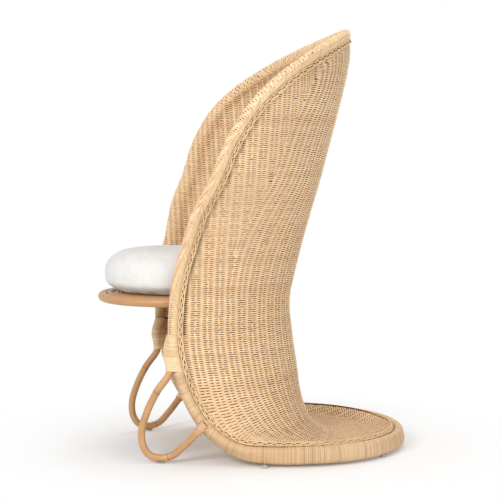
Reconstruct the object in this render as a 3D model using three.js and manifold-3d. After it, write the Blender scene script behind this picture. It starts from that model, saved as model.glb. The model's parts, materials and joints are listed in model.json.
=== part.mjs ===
// Peacock chair: a woven hood and tail on a bent rattan rim, a round seat on two looped legs and a loose
// cushion. Millimetres. +Z is up, +Y is to the rear, +X is to the right seen from the front. The origin is
// on the floor, under the middle of the chair's length.
import * as THREE from 'three';
import { mergeVertices } from 'three/addons/utils/BufferGeometryUtils.js';
import Module from 'manifold-3d';

const wasm = await Module();
wasm.setup();

// Driving dimensions of the whole chair
const crownHeight = 1137; // rim pole's centre at the top of the hood
const hoodHalfWidth = 441; // rim pole's centre at the hood's widest
const tailReach = 417; // rim pole's centre at the tail's end, rearward of the hood's widest part
const seatHeight = 421.5; // seat ring's centre
const seatCentreY = -211.5; // seat ring's centre, from the same place
const footForward = 318; // leg pole's centre at the front of its loop, from the same place
const footHalfWidth = 217; // leg pole's centre, sideways

// Poles, skins and windings
const gap = 0.3; // clearance between touching pieces
const sliverSize = gap / 6; // a cut piece's smallest edge
const rimPoleRadius = 10;
const bindingThickness = 3;
const legPoleRadius = 9.75;
const seatPoleRadius = 12.5;
const innerRingRadius = 6;
const crossBarRadius = 6.5;
const backBarRadius = 9;
const shellThickness = 7;
const braidWidth = 17;
const braidThickness = 6.5;

// Glides, each with its nail
const glideRadius = 10;
const bandGlideHeight = 7.5;
const legGlideHeight = 4.5;
const nailRadius = 1.2;
const nailLength = 14;
const nailRoot = 1; // how far the nail starts inside its glide
const sideGlideY = -6; // where the glides stand under the band
const rearGlideY = 330;

// Collars and short windings on the legs
const collarTopHeight = 338;
const crotchHeight = 243;
const junctionHeight = 105; // the rim's centre where the leg's rear end meets it
const legWrapLength = 30;
const legWrapThickness = 2.6;
const legTopForward = 3; // ahead of the ring's centre
const legTopDepth = 6; // how far under the ring's centre the leg's line starts
const legBuried = 16; // the part of the leg's line that the band cuts off

// Seat deck
const coilRodRadius = 5.5;
const coilLoops = 13;
const coilCoreRadius = 12; // where the coil's inner end starts
const crossBarSpacing = 170;
const backBarInset = 22; // from the seat ring's rear to the bar's centre

// Screws
const screwRadius = 2;
const screwHeadRadius = 4;
const screwHeadHeight = 2.6;
const seatScrewLength = 38;
const legScrewLength = 62;
const screwSink = 0.5; // how far a head lies under the ring's surface

// Cushion
const cushionInset = 3.7; // from the seat ring's centre line in to the cushion's side
const cushionThickness = 118;

// How finely the curves are cut
const rimSteps = 64;
const shellColumns = 22;
const poleSides = 8;
const legSteps = 26;
const ringSteps = 32;
const ringSides = 10;
const collarSteps = 6;
const collarHalfSides = 4;
const legWrapSteps = 4;
const collarOverlap = 3; // how far each binding is swept into a collar before the cut
const endRun = 0.004; // how far a cutter runs past a sweep's end, as a share of the loop
const coilStepsPerLoop = 24;
const coilSides = 6;
const cushionSegments = 32;
const cushionRows = 18;
const screwSides = 6;
const glideSides = 12;
const heelTurn = 0.33; // a turn of the loop at the heel, ahead of the band's glides
const halvings = 40; // steps of a search by halves
const searchSteps = 200; // steps of a search along the leg

// Sizes that follow from the ones above
const bindingRadius = rimPoleRadius + bindingThickness;
const poleSpacing = 2 * rimPoleRadius + gap;
const bandBottom = bandGlideHeight + gap;
const tailRimHeight = bandBottom + bindingRadius + poleSpacing;
const rimRise = crownHeight - tailRimHeight;
const shellEdgeInset = rimPoleRadius + 2 * gap; // from the rim's centre to the shell's edge
const slotHalf = shellThickness / 2 + 3 * gap; // half the slot that the windings leave for the shell
const legFloorCentre = legGlideHeight + gap + legPoleRadius;
const up = new THREE.Vector3(0, 0, 1);
const sideways = new THREE.Vector3(1, 0, 0);

// Stations from the crown's top to the tail's end. Each row holds shares, chosen by hand:
// rim: sideways of hoodHalfWidth, rearward of tailReach, height of rimRise above the tail's rim;
// spine: the same for the middle line of the back and tail, without the first;
// lean: the way the shell leaves the rim, as shares of the same three sizes;
// flat: the middle line's flat half width.
const stationShares = [
  { rim: [0, 0.61, 1], spine: [0.61, 1], lean: [0, 0.014, -0.0155], flat: 0 },
  { rim: [0.363, 0.563, 0.992], spine: [0.635, 0.962], lean: [-0.091, 0.053, -0.024], flat: 0.14 },
  { rim: [0.646, 0.439, 0.969], spine: [0.631, 0.941], lean: [-0.17, 0.12, -0.02], flat: 0.3 },
  { rim: [0.866, 0.24, 0.926], spine: [0.614, 0.907], lean: [-0.163, 0.223, -0.009], flat: 0.44 },
  { rim: [0.982, 0.029, 0.87], spine: [0.591, 0.861], lean: [-0.122, 0.312, -0.002], flat: 0.522 },
  { rim: [0.992, -0.115, 0.816], spine: [0.564, 0.816], lean: [-0.095, 0.372, 0.004], flat: 0.544 },
  { rim: [0.926, -0.248, 0.734], spine: [0.513, 0.734], lean: [-0.063, 0.417, 0.002], flat: 0.517 },
  { rim: [0.832, -0.338, 0.642], spine: [0.453, 0.642], lean: [-0.045, 0.439, 0], flat: 0.472 },
  { rim: [0.71, -0.428, 0.567], spine: [0.4, 0.567], lean: [-0.029, 0.451, 0], flat: 0.401 },
  { rim: [0.606, -0.473, 0.501], spine: [0.353, 0.501], lean: [-0.016, 0.456, 0], flat: 0.345 },
  { rim: [0.531, -0.528, 0.419], spine: [0.3, 0.419], lean: [-0.007, 0.456, 0], flat: 0.308 },
  { rim: [0.503, -0.556, 0.337], spine: [0.257, 0.337], lean: [-0.005, 0.456, 0], flat: 0.295 },
  { rim: [0.503, -0.559, 0.245], spine: [0.276, 0.247], lean: [-0.005, 0.456, 0], flat: 0.295 },
  { rim: [0.512, -0.513, 0.165], spine: [0.305, 0.171], lean: [-0.011, 0.436, 0.006], flat: 0.302 },
  { rim: [0.551, -0.432, 0.092], spine: [0.319, 0.127], lean: [-0.027, 0.379, 0.02], flat: 0.32 },
  { rim: [0.621, -0.307, 0.036], spine: [0.333, 0.095], lean: [-0.068, 0.269, 0.041], flat: 0.34 },
  { rim: [0.68, -0.156, 0.006], spine: [0.357, 0.064], lean: [-0.136, 0.158, 0.049], flat: 0.34 },
  { rim: [0.719, 0.024, 0], spine: [0.403, 0.028], lean: [-0.2, 0.082, 0.027], flat: 0.345 },
  { rim: [0.728, 0.24, 0], spine: [0.484, 0.003], lean: [-0.236, 0.043, 0.003], flat: 0.345 },
  { rim: [0.689, 0.492, 0], spine: [0.588, -0.008], lean: [-0.229, 0, -0.007], flat: 0.322 },
  { rim: [0.58, 0.707, 0], spine: [0.7, -0.011], lean: [-0.181, -0.024, -0.007], flat: 0.268 },
  { rim: [0.39, 0.885, 0], spine: [0.803, -0.0095], lean: [-0.109, -0.043, -0.006], flat: 0.181 },
  { rim: [0.2, 0.971, 0], spine: [0.899, -0.007], lean: [-0.045, -0.043, -0.005], flat: 0.095 },
  { rim: [0, 1, 0], spine: [1, 0], lean: [0, -0.05, -0.004], flat: 0 },
];
const firstRow = 0.5; // the shell's first and last rows lie this many steps in from the rim's two ends
const pastRow = 0.1; // how far a cutter runs past those rows, in steps

// Where the leg lies beside the rim, inward and forward, as shares of their spacing
const collarTopShares = [1.2, 0.1];
const collarMiddleShares = [0.8, 0.85];
const crotchShares = [0.4, 1.1];
// The leg's front run: shares of footHalfWidth, footForward and the crotch's rise above the foot
const legFrontShares = [
  [1, 0.871, 0.77],
  [1, 0.956, 0.53],
  [1, 1, 0.308],
  [1, 0.987, 0.133],
  [1.005, 0.937, 0.033],
  [1.023, 0.855, 0],
];
// The leg's rear run: shares of the way from the foot to the rim, sideways, rearward and up
const legRearShares = [
  [0.213, 0.268, 0.071],
  [0.56, 0.539, 0.391],
  [0.963, 0.791, 0.768],
  [1.367, 1.019, 1.111],
];

// The cushion's outline from the middle of its underside to the middle of its top, as shares of its two sizes
const cushionShares = [
  [0, 0],
  [0.5, 0],
  [0.8, 0.02],
  [0.93, 0.07],
  [0.975, 0.16],
  [0.98, 0.24],
  [1, 0.4],
  [0.995, 0.55],
  [0.95, 0.7],
  [0.85, 0.82],
  [0.65, 0.92],
  [0.35, 0.985],
  [0, 1],
];

const colours = {
  pole: { color: 0xd9a871, roughness: 0.45 },
  binding: { color: 0xe6c594, roughness: 0.6 },
  weave: { color: 0xdcb98d, roughness: 0.75 },
  braid: { color: 0xe4c08a, roughness: 0.7 },
  cloth: { color: 0xece9e2, roughness: 0.95 },
  metal: { color: 0xb4b2ac, roughness: 0.35, metalness: 0.9 },
  plastic: { color: 0xb9bcb4, roughness: 0.5 },
};

const chair = new THREE.Group();

function addPiece(name, geometry, look) {
  const mesh = new THREE.Mesh(geometry, new THREE.MeshStandardMaterial(colours[look]));
  mesh.name = name;
  chair.add(mesh);
  return mesh;
}

// Joins and cuts

function toSolid(geometry) {
  const bare = new THREE.BufferGeometry();
  bare.setAttribute('position', geometry.getAttribute('position').clone());
  if (geometry.index) bare.setIndex(geometry.index.clone());
  const merged = mergeVertices(bare, 1e-4);
  return new wasm.Manifold(new wasm.Mesh({
    numProp: 3,
    vertProperties: new Float32Array(merged.getAttribute('position').array),
    triVerts: new Uint32Array(merged.index.array),
  }));
}

function toGeometry(solid) {
  const mesh = solid.getMesh();
  const geometry = new THREE.BufferGeometry();
  geometry.setAttribute('position', new THREE.BufferAttribute(new Float32Array(mesh.vertProperties), 3));
  geometry.setIndex(new THREE.BufferAttribute(new Uint32Array(mesh.triVerts), 1));
  geometry.computeVertexNormals();
  return geometry;
}

// Cuts a piece and keeps its one main body, without the offcuts beyond its neighbours
function cut(geometry, cutters) {
  let solid = toSolid(geometry);
  cutters.forEach((cutter) => {
    solid = solid.subtract(toSolid(cutter));
  });
  const bodies = solid.decompose().sort((a, b) => b.volume() - a.volume());
  return toGeometry(bodies[0].simplify(sliverSize));
}

// A skin over rings of points. Each ring turns anticlockwise seen from the end it runs towards.
// The points from innerFrom on are a hollow's wall, whose facets are split as the facing pole's are.
function loft(rings, closed = false, innerFrom = Infinity) {
  const count = rings[0].length;
  const positions = rings.flatMap((ring) => ring.flatMap((point) => [point.x, point.y, point.z]));
  const indices = [];
  const spans = closed ? rings.length : rings.length - 1;
  for (let i = 0; i < spans; i += 1) {
    const a = i * count;
    const b = ((i + 1) % rings.length) * count;
    for (let j = 0; j < count; j += 1) {
      const k = (j + 1) % count;
      if (j >= innerFrom) indices.push(a + j, a + k, b + j, a + k, b + k, b + j);
      else indices.push(a + j, a + k, b + k, a + j, b + k, b + j);
    }
  }
  if (!closed) {
    const end = (rings.length - 1) * count;
    for (let j = 0; j < count / 2 - 1; j += 1) {
      const near = [j, j + 1, count - 2 - j, count - 1 - j];
      indices.push(near[0], near[2], near[1], near[0], near[3], near[2]);
      indices.push(end + near[0], end + near[1], end + near[2], end + near[0], end + near[2], end + near[3]);
    }
  }
  const geometry = new THREE.BufferGeometry();
  geometry.setAttribute('position', new THREE.Float32BufferAttribute(positions, 3));
  geometry.setIndex(indices);
  geometry.computeVertexNormals();
  return geometry;
}

function circleRing(centre, first, second, radius, sides) {
  return Array.from({ length: sides }, (_, i) => {
    const angle = (2 * Math.PI * i) / sides;
    return centre.clone()
      .addScaledVector(first, radius * Math.cos(angle))
      .addScaledVector(second, radius * Math.sin(angle));
  });
}

// A round pole along a curve, with its first side turned towards a given way
function poleAlong(curve, radius, steps, sides, towards) {
  const rings = [];
  for (let i = 0; i <= steps; i += 1) {
    const centre = curve.getPoint(i / steps);
    const along = curve.getTangent(i / steps);
    const first = towards.clone().addScaledVector(along, -towards.dot(along)).normalize();
    const second = along.clone().cross(first);
    rings.push(circleRing(centre, first, second, radius, sides));
  }
  return loft(rings);
}

function cylinder(radius, height, sides) {
  return new THREE.CylinderGeometry(radius, radius, height, sides).rotateX(Math.PI / 2);
}

// The rim and the shell's middle surface

function rimPlace([across, rearward, rise]) {
  return new THREE.Vector3(
    across * hoodHalfWidth,
    rearward * tailReach,
    tailRimHeight + rise * rimRise,
  );
}

const mirrored = (point) => new THREE.Vector3(-point.x, point.y, point.z);
const nearRim = stationShares.map((station) => rimPlace(station.rim));
const farRim = nearRim.slice(1, -1).reverse().map(mirrored);
const rimCurve = new THREE.CatmullRomCurve3([...nearRim, ...farRim], true);
const spineCurve = new THREE.CatmullRomCurve3(
  stationShares.map((station) => rimPlace([0, ...station.spine])),
);
const leanCurve = new THREE.CatmullRomCurve3(
  stationShares.map(({ lean }) => new THREE.Vector3(
    lean[0] * hoodHalfWidth,
    lean[1] * tailReach,
    lean[2] * rimRise,
  )),
  false,
  'catmullrom',
);
const flatCurve = new THREE.CatmullRomCurve3(
  stationShares.map((station, i) => new THREE.Vector3(station.flat * hoodHalfWidth, 0, 0).setY(i)),
  false,
  'catmullrom',
);

// The rim's centre, the shell's way out of it and the way from the shell, at any turn of the loop
function rimFrame(turn) {
  const far = turn > 0.5;
  const nearTurn = far ? 1 - turn : turn;
  const along = rimCurve.getTangent(nearTurn);
  const out = along.clone().cross(leanCurve.getPoint(2 * nearTurn)).normalize();
  const frame = { centre: rimCurve.getPoint(nearTurn), out, away: along.clone().cross(out) };
  return far ? { centre: mirrored(frame.centre), out: mirrored(out), away: mirrored(frame.away) } : frame;
}

// place runs from 0 at the crown's top to 1 at the tail's end, across from -1 at the left rim to 1 at the
// right one
function shellPoint(place, across) {
  const { centre: rim, away } = rimFrame(place / 2);
  const lean = leanCurve.getPoint(place);
  const edge = rim.clone().addScaledVector(away, -shellEdgeInset);
  const spine = spineCurve.getPoint(place);
  const flat = spine.clone().addScaledVector(sideways, flatCurve.getPoint(place).x);
  const row = new THREE.CubicBezierCurve3(spine, flat, rim.clone().add(lean), edge);
  const point = row.getPoint(Math.abs(across));
  return across < 0 ? mirrored(point) : point;
}

function shellOut(place, across) {
  const tick = 1e-3;
  const a = Math.min(across + tick, 1);
  const p = Math.min(place + tick, 1 - tick);
  const acrossWay = shellPoint(place, a).sub(shellPoint(place, a - tick));
  const downWay = shellPoint(p, across).sub(shellPoint(p - tick, across));
  return acrossWay.cross(downWay).normalize();
}

function turnAtHeight(height) {
  let above = 0;
  let below = 0.5;
  for (let i = 0; i < halvings; i += 1) {
    const middle = (above + below) / 2;
    if (rimCurve.getPoint(middle).z > height) above = middle;
    else below = middle;
  }
  return above;
}

// The loop's even steps between two turns, with the two ends themselves
function turnsBetween(start, end) {
  const first = Math.floor(start * rimSteps) + 1;
  const last = Math.ceil(end * rimSteps) - 1;
  const between = Array.from({ length: last - first + 1 }, (_, i) => (first + i) / rimSteps);
  return [start, ...between, end];
}

// The same steps, run on past both ends for a cutter
function runPast(turns) {
  return [turns[0] - endRun, ...turns, turns[turns.length - 1] + endRun];
}

function rimSweep(turns, section, closed = false, innerFrom = Infinity) {
  return loft(turns.map((turn) => {
    const frame = rimFrame(((turn % 1) + 1) % 1);
    return section.map(([outward, awayward]) => frame.centre.clone()
      .addScaledVector(frame.out, outward)
      .addScaledVector(frame.away, awayward));
  }), closed, innerFrom);
}

function roundSection(radius, outward = 0) {
  return Array.from({ length: poleSides }, (_, i) => {
    const angle = (2 * Math.PI * i) / poleSides;
    return [outward + radius * Math.cos(angle), radius * Math.sin(angle)];
  });
}

// One turn of the winding round one or two poles, open on the shell's side. Its corners follow the poles'.
function windingArc(radius, poles, slot) {
  const side = (2 * Math.PI) / poleSides;
  const corner = (i, outward) => {
    const angle = i * side - Math.PI / 2;
    return [outward + radius * Math.cos(angle), radius * Math.sin(angle)];
  };
  const slope = Math.tan(side / 2);
  const first = [slot, slot * slope - radius];
  if (poles === 1) {
    const round = Array.from({ length: poleSides - 1 }, (_, i) => corner(i + 1, 0));
    return [first, ...round, [-slot, slot * slope - radius]];
  }
  const half = poleSides / 2;
  const rimSide = Array.from({ length: half }, (_, i) => corner(i + 1, 0));
  const baseSide = Array.from({ length: half + 1 }, (_, i) => corner(i + half, -poleSpacing));
  return [first, ...rimSide, ...baseSide, [-slot, -radius]];
}

function winding(turns, poles, spare = 0) {
  const outer = windingArc(bindingRadius + spare, poles, slotHalf - 2 * spare);
  const inner = windingArc(rimPoleRadius + 2 * gap - spare, poles, slotHalf - 2 * spare).reverse();
  return rimSweep(turns, [...outer, ...inner], false, outer.length);
}

// Two round poles side by side, under one winding
function pairSection(radius) {
  const half = poleSides / 2;
  return Array.from({ length: poleSides + 2 }, (_, i) => {
    const angle = (2 * Math.PI * (i <= half ? i : i - 1)) / poleSides - Math.PI / 2;
    return [(i <= half ? 0 : -poleSpacing) + radius * Math.cos(angle), radius * Math.sin(angle)];
  });
}

// The shell as a sheet. A cutter for it is thicker and runs past its end rows or its edges.
function shellSheet(halfThickness, pastRows = 0, reach = 0) {
  const rings = [];
  const lastRow = rimSteps / 2 - firstRow;
  const wholeRows = Array.from({ length: rimSteps / 2 - 1 }, (_, i) => 1 + i);
  const rows = [firstRow, ...wholeRows, lastRow];
  if (pastRows) {
    rows.unshift(firstRow - pastRows);
    rows.push(lastRow + pastRows);
  }
  rows.forEach((row) => {
    const place = (2 * row) / rimSteps;
    const edgeWay = rimFrame(place / 2).away;
    const outer = [];
    const inner = [];
    const addPair = (point, out) => {
      outer.push(point.clone().addScaledVector(out, halfThickness));
      inner.push(point.clone().addScaledVector(out, -halfThickness));
    };
    for (let column = 0; column <= shellColumns; column += 1) {
      const across = (2 * column) / shellColumns - 1;
      const point = shellPoint(place, across);
      let out = shellOut(place, Math.abs(across));
      let beyond = point.clone().addScaledVector(edgeWay, reach);
      if (across < 0) {
        out = mirrored(out);
        beyond = point.clone().addScaledVector(mirrored(edgeWay), reach);
      }
      if (reach && column === 0) addPair(beyond, out);
      addPair(point, out);
      if (reach && column === shellColumns) addPair(beyond, out);
    }
    rings.push([...outer, ...inner.reverse()]);
  });
  return loft(rings);
}

// Poles of the rim
const crotchTurn = turnAtHeight(crotchHeight + collarOverlap);
const collarTurn = turnAtHeight(collarTopHeight - collarOverlap);
const collarTurns = [crotchTurn, collarTurn, 1 - crotchTurn, 1 - collarTurn];
const evenTurns = Array.from({ length: rimSteps }, (_, i) => i / rimSteps);
const wholeLoop = [...evenTurns, ...collarTurns].sort((a, b) => a - b);
const baseTurns = turnsBetween(crotchTurn, 1 - crotchTurn);
const hoodTurns = turnsBetween(-collarTurn, collarTurn);
const rimPole = rimSweep(wholeLoop, roundSection(rimPoleRadius), true);
const rimPoleRoom = rimSweep(wholeLoop, roundSection(rimPoleRadius + gap), true);
const basePole = rimSweep(baseTurns, roundSection(rimPoleRadius, -poleSpacing));
const hoodBinding = winding(hoodTurns, 1);
const hoodBindingRoom = rimSweep(runPast(hoodTurns), roundSection(bindingRadius + gap));
const baseBinding = winding(baseTurns, 2);
const baseBindingRoom = rimSweep(runPast(baseTurns), pairSection(bindingRadius + gap));

// The shell, and the room that everything beside it leaves for it
const shellRoom = shellSheet(shellThickness / 2 + 2 * gap, pastRow);
const shellRoomToPole = shellSheet(shellThickness / 2 + 2 * gap, pastRow, rimPoleRadius);
const windingRooms = [winding(hoodTurns, 1, gap), winding(baseTurns, 2, gap)];
const shell = cut(shellSheet(shellThickness / 2), [rimPoleRoom, ...windingRooms]);

// Legs: from under the seat ring, inside the rim, round in front of it, and in a loop back to the band
const ringCentreRadius = (() => {
  const rim = rimCurve.getPoint(turnAtHeight(seatHeight));
  return Math.hypot(rim.x, rim.y - seatCentreY) - bindingRadius - gap - seatPoleRadius;
})();
const besideRim = rimPoleRadius + gap + legPoleRadius;

function besideRimAt(height, [inward, forward]) {
  const rim = rimCurve.getPoint(turnAtHeight(height));
  return new THREE.Vector3(rim.x - inward * besideRim, rim.y - forward * besideRim, height);
}

const legTop = new THREE.Vector3(ringCentreRadius, seatCentreY - legTopForward, seatHeight - legTopDepth);
const legUpperPoints = [
  legTop,
  besideRimAt(collarTopHeight, collarTopShares),
  besideRimAt((collarTopHeight + crotchHeight) / 2, collarMiddleShares),
  besideRimAt(crotchHeight, crotchShares),
];
const legFrontPoints = legFrontShares.map(([across, forward, rise]) => new THREE.Vector3(
  across * footHalfWidth,
  -forward * footForward,
  legFloorCentre + rise * (crotchHeight - legFloorCentre),
));
const foot = legFrontPoints[legFrontPoints.length - 1];
const wayToRim = rimCurve.getPoint(turnAtHeight(junctionHeight)).sub(foot);
const legRearPoints = legRearShares.map((shares) => foot.clone().add(
  wayToRim.clone().multiply(new THREE.Vector3(...shares)),
));
const legPoints = [...legUpperPoints, ...legFrontPoints, ...legRearPoints];
const legCurve = new THREE.CatmullRomCurve3(legPoints);
const legCrotchTurn = (legUpperPoints.length - 1) / (legPoints.length - 1);
const legForms = {
  pole: poleAlong(legCurve, legPoleRadius, legSteps, poleSides, sideways),
  room: poleAlong(legCurve, legPoleRadius + gap, legSteps, poleSides, sideways),
};

// The last stretch of the leg pole, which the short winding covers
function wrapForm(radius) {
  const length = legCurve.getLength();
  const stretch = new THREE.CatmullRomCurve3([0, 0.5, 1].map((share) => legCurve.getPointAt(
    1 - (legWrapLength + legBuried) * (1 - share) / length,
  )));
  return poleAlong(stretch, radius, legWrapSteps, poleSides, sideways);
}

// Leg collar: one winding round the rim pole and the leg pole, from the crotch up
function legPointAt(height) {
  let above = 0;
  let below = legCrotchTurn;
  for (let i = 0; i < halvings; i += 1) {
    const middle = (above + below) / 2;
    if (legCurve.getPoint(middle).z > height) above = middle;
    else below = middle;
  }
  return legCurve.getPoint(above);
}

function collarForm(radius, past = 0) {
  const rings = [];
  const heights = Array.from(
    { length: collarSteps + 1 },
    (_, i) => collarTopHeight + ((crotchHeight - collarTopHeight) * i) / collarSteps,
  );
  if (past) {
    heights.unshift(collarTopHeight + past);
    heights.push(crotchHeight - past);
  }
  heights.forEach((height) => {
    const rim = rimCurve.getPoint(turnAtHeight(height));
    const leg = legPointAt(height);
    const way = leg.clone().sub(rim).setZ(0).normalize();
    const square = new THREE.Vector3(way.y, -way.x, 0);
    const ring = [];
    for (let j = 0; j <= collarHalfSides; j += 1) {
      const angle = (Math.PI * j) / collarHalfSides - Math.PI / 2;
      ring.push(leg.clone()
        .addScaledVector(way, radius * Math.cos(angle))
        .addScaledVector(square, -radius * Math.sin(angle)));
    }
    for (let j = 0; j <= collarHalfSides; j += 1) {
      const angle = (Math.PI * j) / collarHalfSides + Math.PI / 2;
      ring.push(rim.clone()
        .addScaledVector(way, radius * Math.cos(angle))
        .addScaledVector(square, -radius * Math.sin(angle)));
    }
    rings.push(ring.reverse());
  });
  return loft(rings);
}

const mirrorGeometry = (geometry) => {
  const copy = geometry.clone().scale(-1, 1, 1);
  const index = copy.index.array;
  for (let i = 0; i < index.length; i += 3) {
    [index[i], index[i + 1]] = [index[i + 1], index[i]];
  }
  return copy;
};

// Seat: the ring, the thinner ring inside it, the coil, and the bars that carry them
function torus(radius, poleRadius, sides, steps) {
  return new THREE.TorusGeometry(radius, poleRadius, sides, steps);
}

const seatRing = torus(ringCentreRadius, seatPoleRadius, ringSides, ringSteps);
seatRing.translate(0, seatCentreY, seatHeight);
const seatRingRoom = torus(ringCentreRadius, seatPoleRadius + gap, ringSides, ringSteps);
seatRingRoom.translate(0, seatCentreY, seatHeight);

// The deck: its top lies level with the ring's, the bars right under it
const coilHeight = seatHeight + seatPoleRadius - coilRodRadius;
const crossBarHeight = coilHeight - coilRodRadius - gap - crossBarRadius;
const innerRingHeight = crossBarHeight + crossBarRadius + gap + innerRingRadius;
const innerRingCentreRadius = ringCentreRadius - seatPoleRadius - gap - innerRingRadius;
const innerRing = torus(innerRingCentreRadius, innerRingRadius, poleSides, ringSteps);
innerRing.translate(0, seatCentreY, innerRingHeight);

// An even spiral, one unbroken rod, whose turns keep a small gap
const coilOuterRadius = innerRingCentreRadius - innerRingRadius - gap - coilRodRadius;
const coilPitch = (coilOuterRadius - coilCoreRadius) / coilLoops;

function coilPoint(turns) {
  const angle = 2 * Math.PI * turns;
  const radius = coilOuterRadius - coilPitch * turns;
  return new THREE.Vector3(radius * Math.cos(angle), seatCentreY + radius * Math.sin(angle), coilHeight);
}

function coilForm() {
  const steps = coilLoops * coilStepsPerLoop;
  const rings = [];
  for (let i = 0; i <= steps; i += 1) {
    const turns = i / coilStepsPerLoop;
    const way = new THREE.Vector3(Math.cos(2 * Math.PI * turns), Math.sin(2 * Math.PI * turns), 0);
    rings.push(circleRing(coilPoint(turns), way, up.clone().negate(), coilRodRadius, coilSides));
  }
  return loft(rings);
}

let coilLeastGap = Infinity;
for (let i = 0; i <= (coilLoops - 1) * coilStepsPerLoop; i += 1) {
  const turns = i / coilStepsPerLoop;
  const apart = coilPoint(turns).distanceTo(coilPoint(turns + 1)) - 2 * coilRodRadius;
  coilLeastGap = Math.min(coilLeastGap, apart);
}
console.log(`least gap between the coil's turns: ${coilLeastGap.toFixed(2)} mm`);

// Cross bars between the ring's two sides, under the coil
function bar(radius, halfLength, y, z) {
  return cylinder(radius, 2 * halfLength, poleSides).rotateY(Math.PI / 2).translate(0, y, z);
}

function crossBar(offset) {
  const form = bar(crossBarRadius, ringCentreRadius, seatCentreY + offset, crossBarHeight);
  return cut(form, [seatRingRoom]);
}

const backBarY = seatCentreY + ringCentreRadius - backBarInset;
const backBarHeight = seatHeight - seatPoleRadius - gap - backBarRadius;
const backBar = cut(bar(backBarRadius, hoodHalfWidth, backBarY, backBarHeight), [shellRoom]);

// Screws: a head and a shank on +Z, the head's top at the origin
function screw(length, room = 0) {
  const head = cylinder(screwHeadRadius + room, screwHeadHeight + room, poleSides);
  head.translate(0, 0, (room - screwHeadHeight) / 2);
  const shank = cylinder(screwRadius + room, length + room, screwSides);
  shank.translate(0, 0, -(length + room) / 2);
  return toGeometry(toSolid(head).add(toSolid(shank)));
}

function placed(form, point, way) {
  const turn = new THREE.Quaternion().setFromUnitVectors(up, way);
  return form.clone().applyQuaternion(turn).translate(point.x, point.y, point.z);
}

const rimAtSeat = rimCurve.getPoint(turnAtHeight(seatHeight));
const seatScrewWay = rimAtSeat.clone().sub(new THREE.Vector3(0, seatCentreY, seatHeight)).normalize();
const seatScrewHead = new THREE.Vector3(0, seatCentreY, seatHeight)
  .addScaledVector(seatScrewWay, ringCentreRadius - seatPoleRadius + screwSink);
const legScrewHead = legTop.clone().setZ(seatHeight + seatPoleRadius - screwSink);
const screwPlaces = {
  seat: [seatScrewLength, seatScrewHead, seatScrewWay.clone().negate()],
  leg: [legScrewLength, legScrewHead, up],
};
const bothSides = (form) => [form, mirrorGeometry(form)];
const screwRooms = Object.values(screwPlaces).flatMap(
  ([length, head, way]) => bothSides(placed(screw(length, gap), head, way)),
);

// Glides: a round foot with its nail
function glide(height, room = 0) {
  const foot = cylinder(glideRadius + room, height + room, glideSides);
  foot.translate(0, 0, (height + room) / 2);
  const nail = cylinder(nailRadius + room, nailLength + room, screwSides);
  nail.translate(0, 0, height + (nailLength + room) / 2 - nailRoot);
  return toGeometry(toSolid(foot).add(toSolid(nail)));
}

function onFloor(form, point) {
  return form.clone().translate(point.x, point.y, 0);
}

function turnAtRear(y) {
  let ahead = heelTurn;
  let behind = 0.5;
  for (let i = 0; i < halvings; i += 1) {
    const middle = (ahead + behind) / 2;
    if (rimCurve.getPoint(middle).y < y) ahead = middle;
    else behind = middle;
  }
  return ahead;
}

function legLowest() {
  let best = legCurve.getPoint(1);
  for (let i = 0; i <= searchSteps; i += 1) {
    const point = legCurve.getPoint(i / searchSteps);
    if (point.z < best.z) best = point;
  }
  return best;
}

const glidePlaces = {
  leg: [legLowest(), legGlideHeight],
  side: [rimCurve.getPoint(turnAtRear(sideGlideY)), bandGlideHeight],
  rear: [rimCurve.getPoint(turnAtRear(rearGlideY)), bandGlideHeight],
};
const nailRooms = Object.values(glidePlaces).flatMap(
  ([point, height]) => bothSides(onFloor(glide(height, gap), point)),
);

// Cushion: a crowned top, drawn-in sides down to the seam and a flatter underside
const coilTop = coilHeight + coilRodRadius * Math.cos(Math.PI / coilSides); // the faceted rod's flat top
const cushionBottom = coilTop + 2 * gap; // its underside dips by less than one gap
const cushionRadius = ringCentreRadius - cushionInset;
const cushionOutline = new THREE.CatmullRomCurve3(cushionShares.map(
  ([across, rise]) => new THREE.Vector3(across * cushionRadius, 0, rise * cushionThickness),
));
const cushionRings = Array.from({ length: cushionRows }, (_, i) => {
  const point = cushionOutline.getPoint((i + 1) / (cushionRows + 1));
  const centre = new THREE.Vector3(0, seatCentreY, cushionBottom + point.z);
  return circleRing(centre, sideways, new THREE.Vector3(0, 1, 0), point.x, cushionSegments);
});

// The pieces themselves
const collarRoom = collarForm(bindingRadius + gap, gap);
const collarRooms = bothSides(collarRoom);
const collarLevels = new THREE.BoxGeometry(
  2 * (hoodHalfWidth + bindingRadius),
  2 * tailReach,
  collarTopHeight - crotchHeight + 2 * gap,
);
collarLevels.translate(0, 0, (collarTopHeight + crotchHeight) / 2);
const braidFrom = bindingRadius + gap;
const braidTop = shellThickness / 2 + gap + braidThickness;
const braidSection = [
  [0, -braidFrom - braidWidth],
  [braidTop, -braidFrom - braidWidth],
  [braidTop, -braidFrom],
  [0, -braidFrom],
];
const braidCutters = [shellRoom, hoodBindingRoom, baseBindingRoom, ...collarRooms];

addPiece('woven_shell', shell, 'weave');
addPiece('rim_pole', cut(rimPole, screwRooms), 'pole');
addPiece('base_pole', cut(basePole, [collarLevels, ...nailRooms]), 'pole');
addPiece('rim_braid', cut(rimSweep(wholeLoop, braidSection, true), braidCutters), 'braid');
addPiece('hood_binding', cut(hoodBinding, [collarLevels, ...screwRooms]), 'binding');
addPiece('base_binding', cut(baseBinding, [collarLevels, ...nailRooms]), 'binding');

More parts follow.
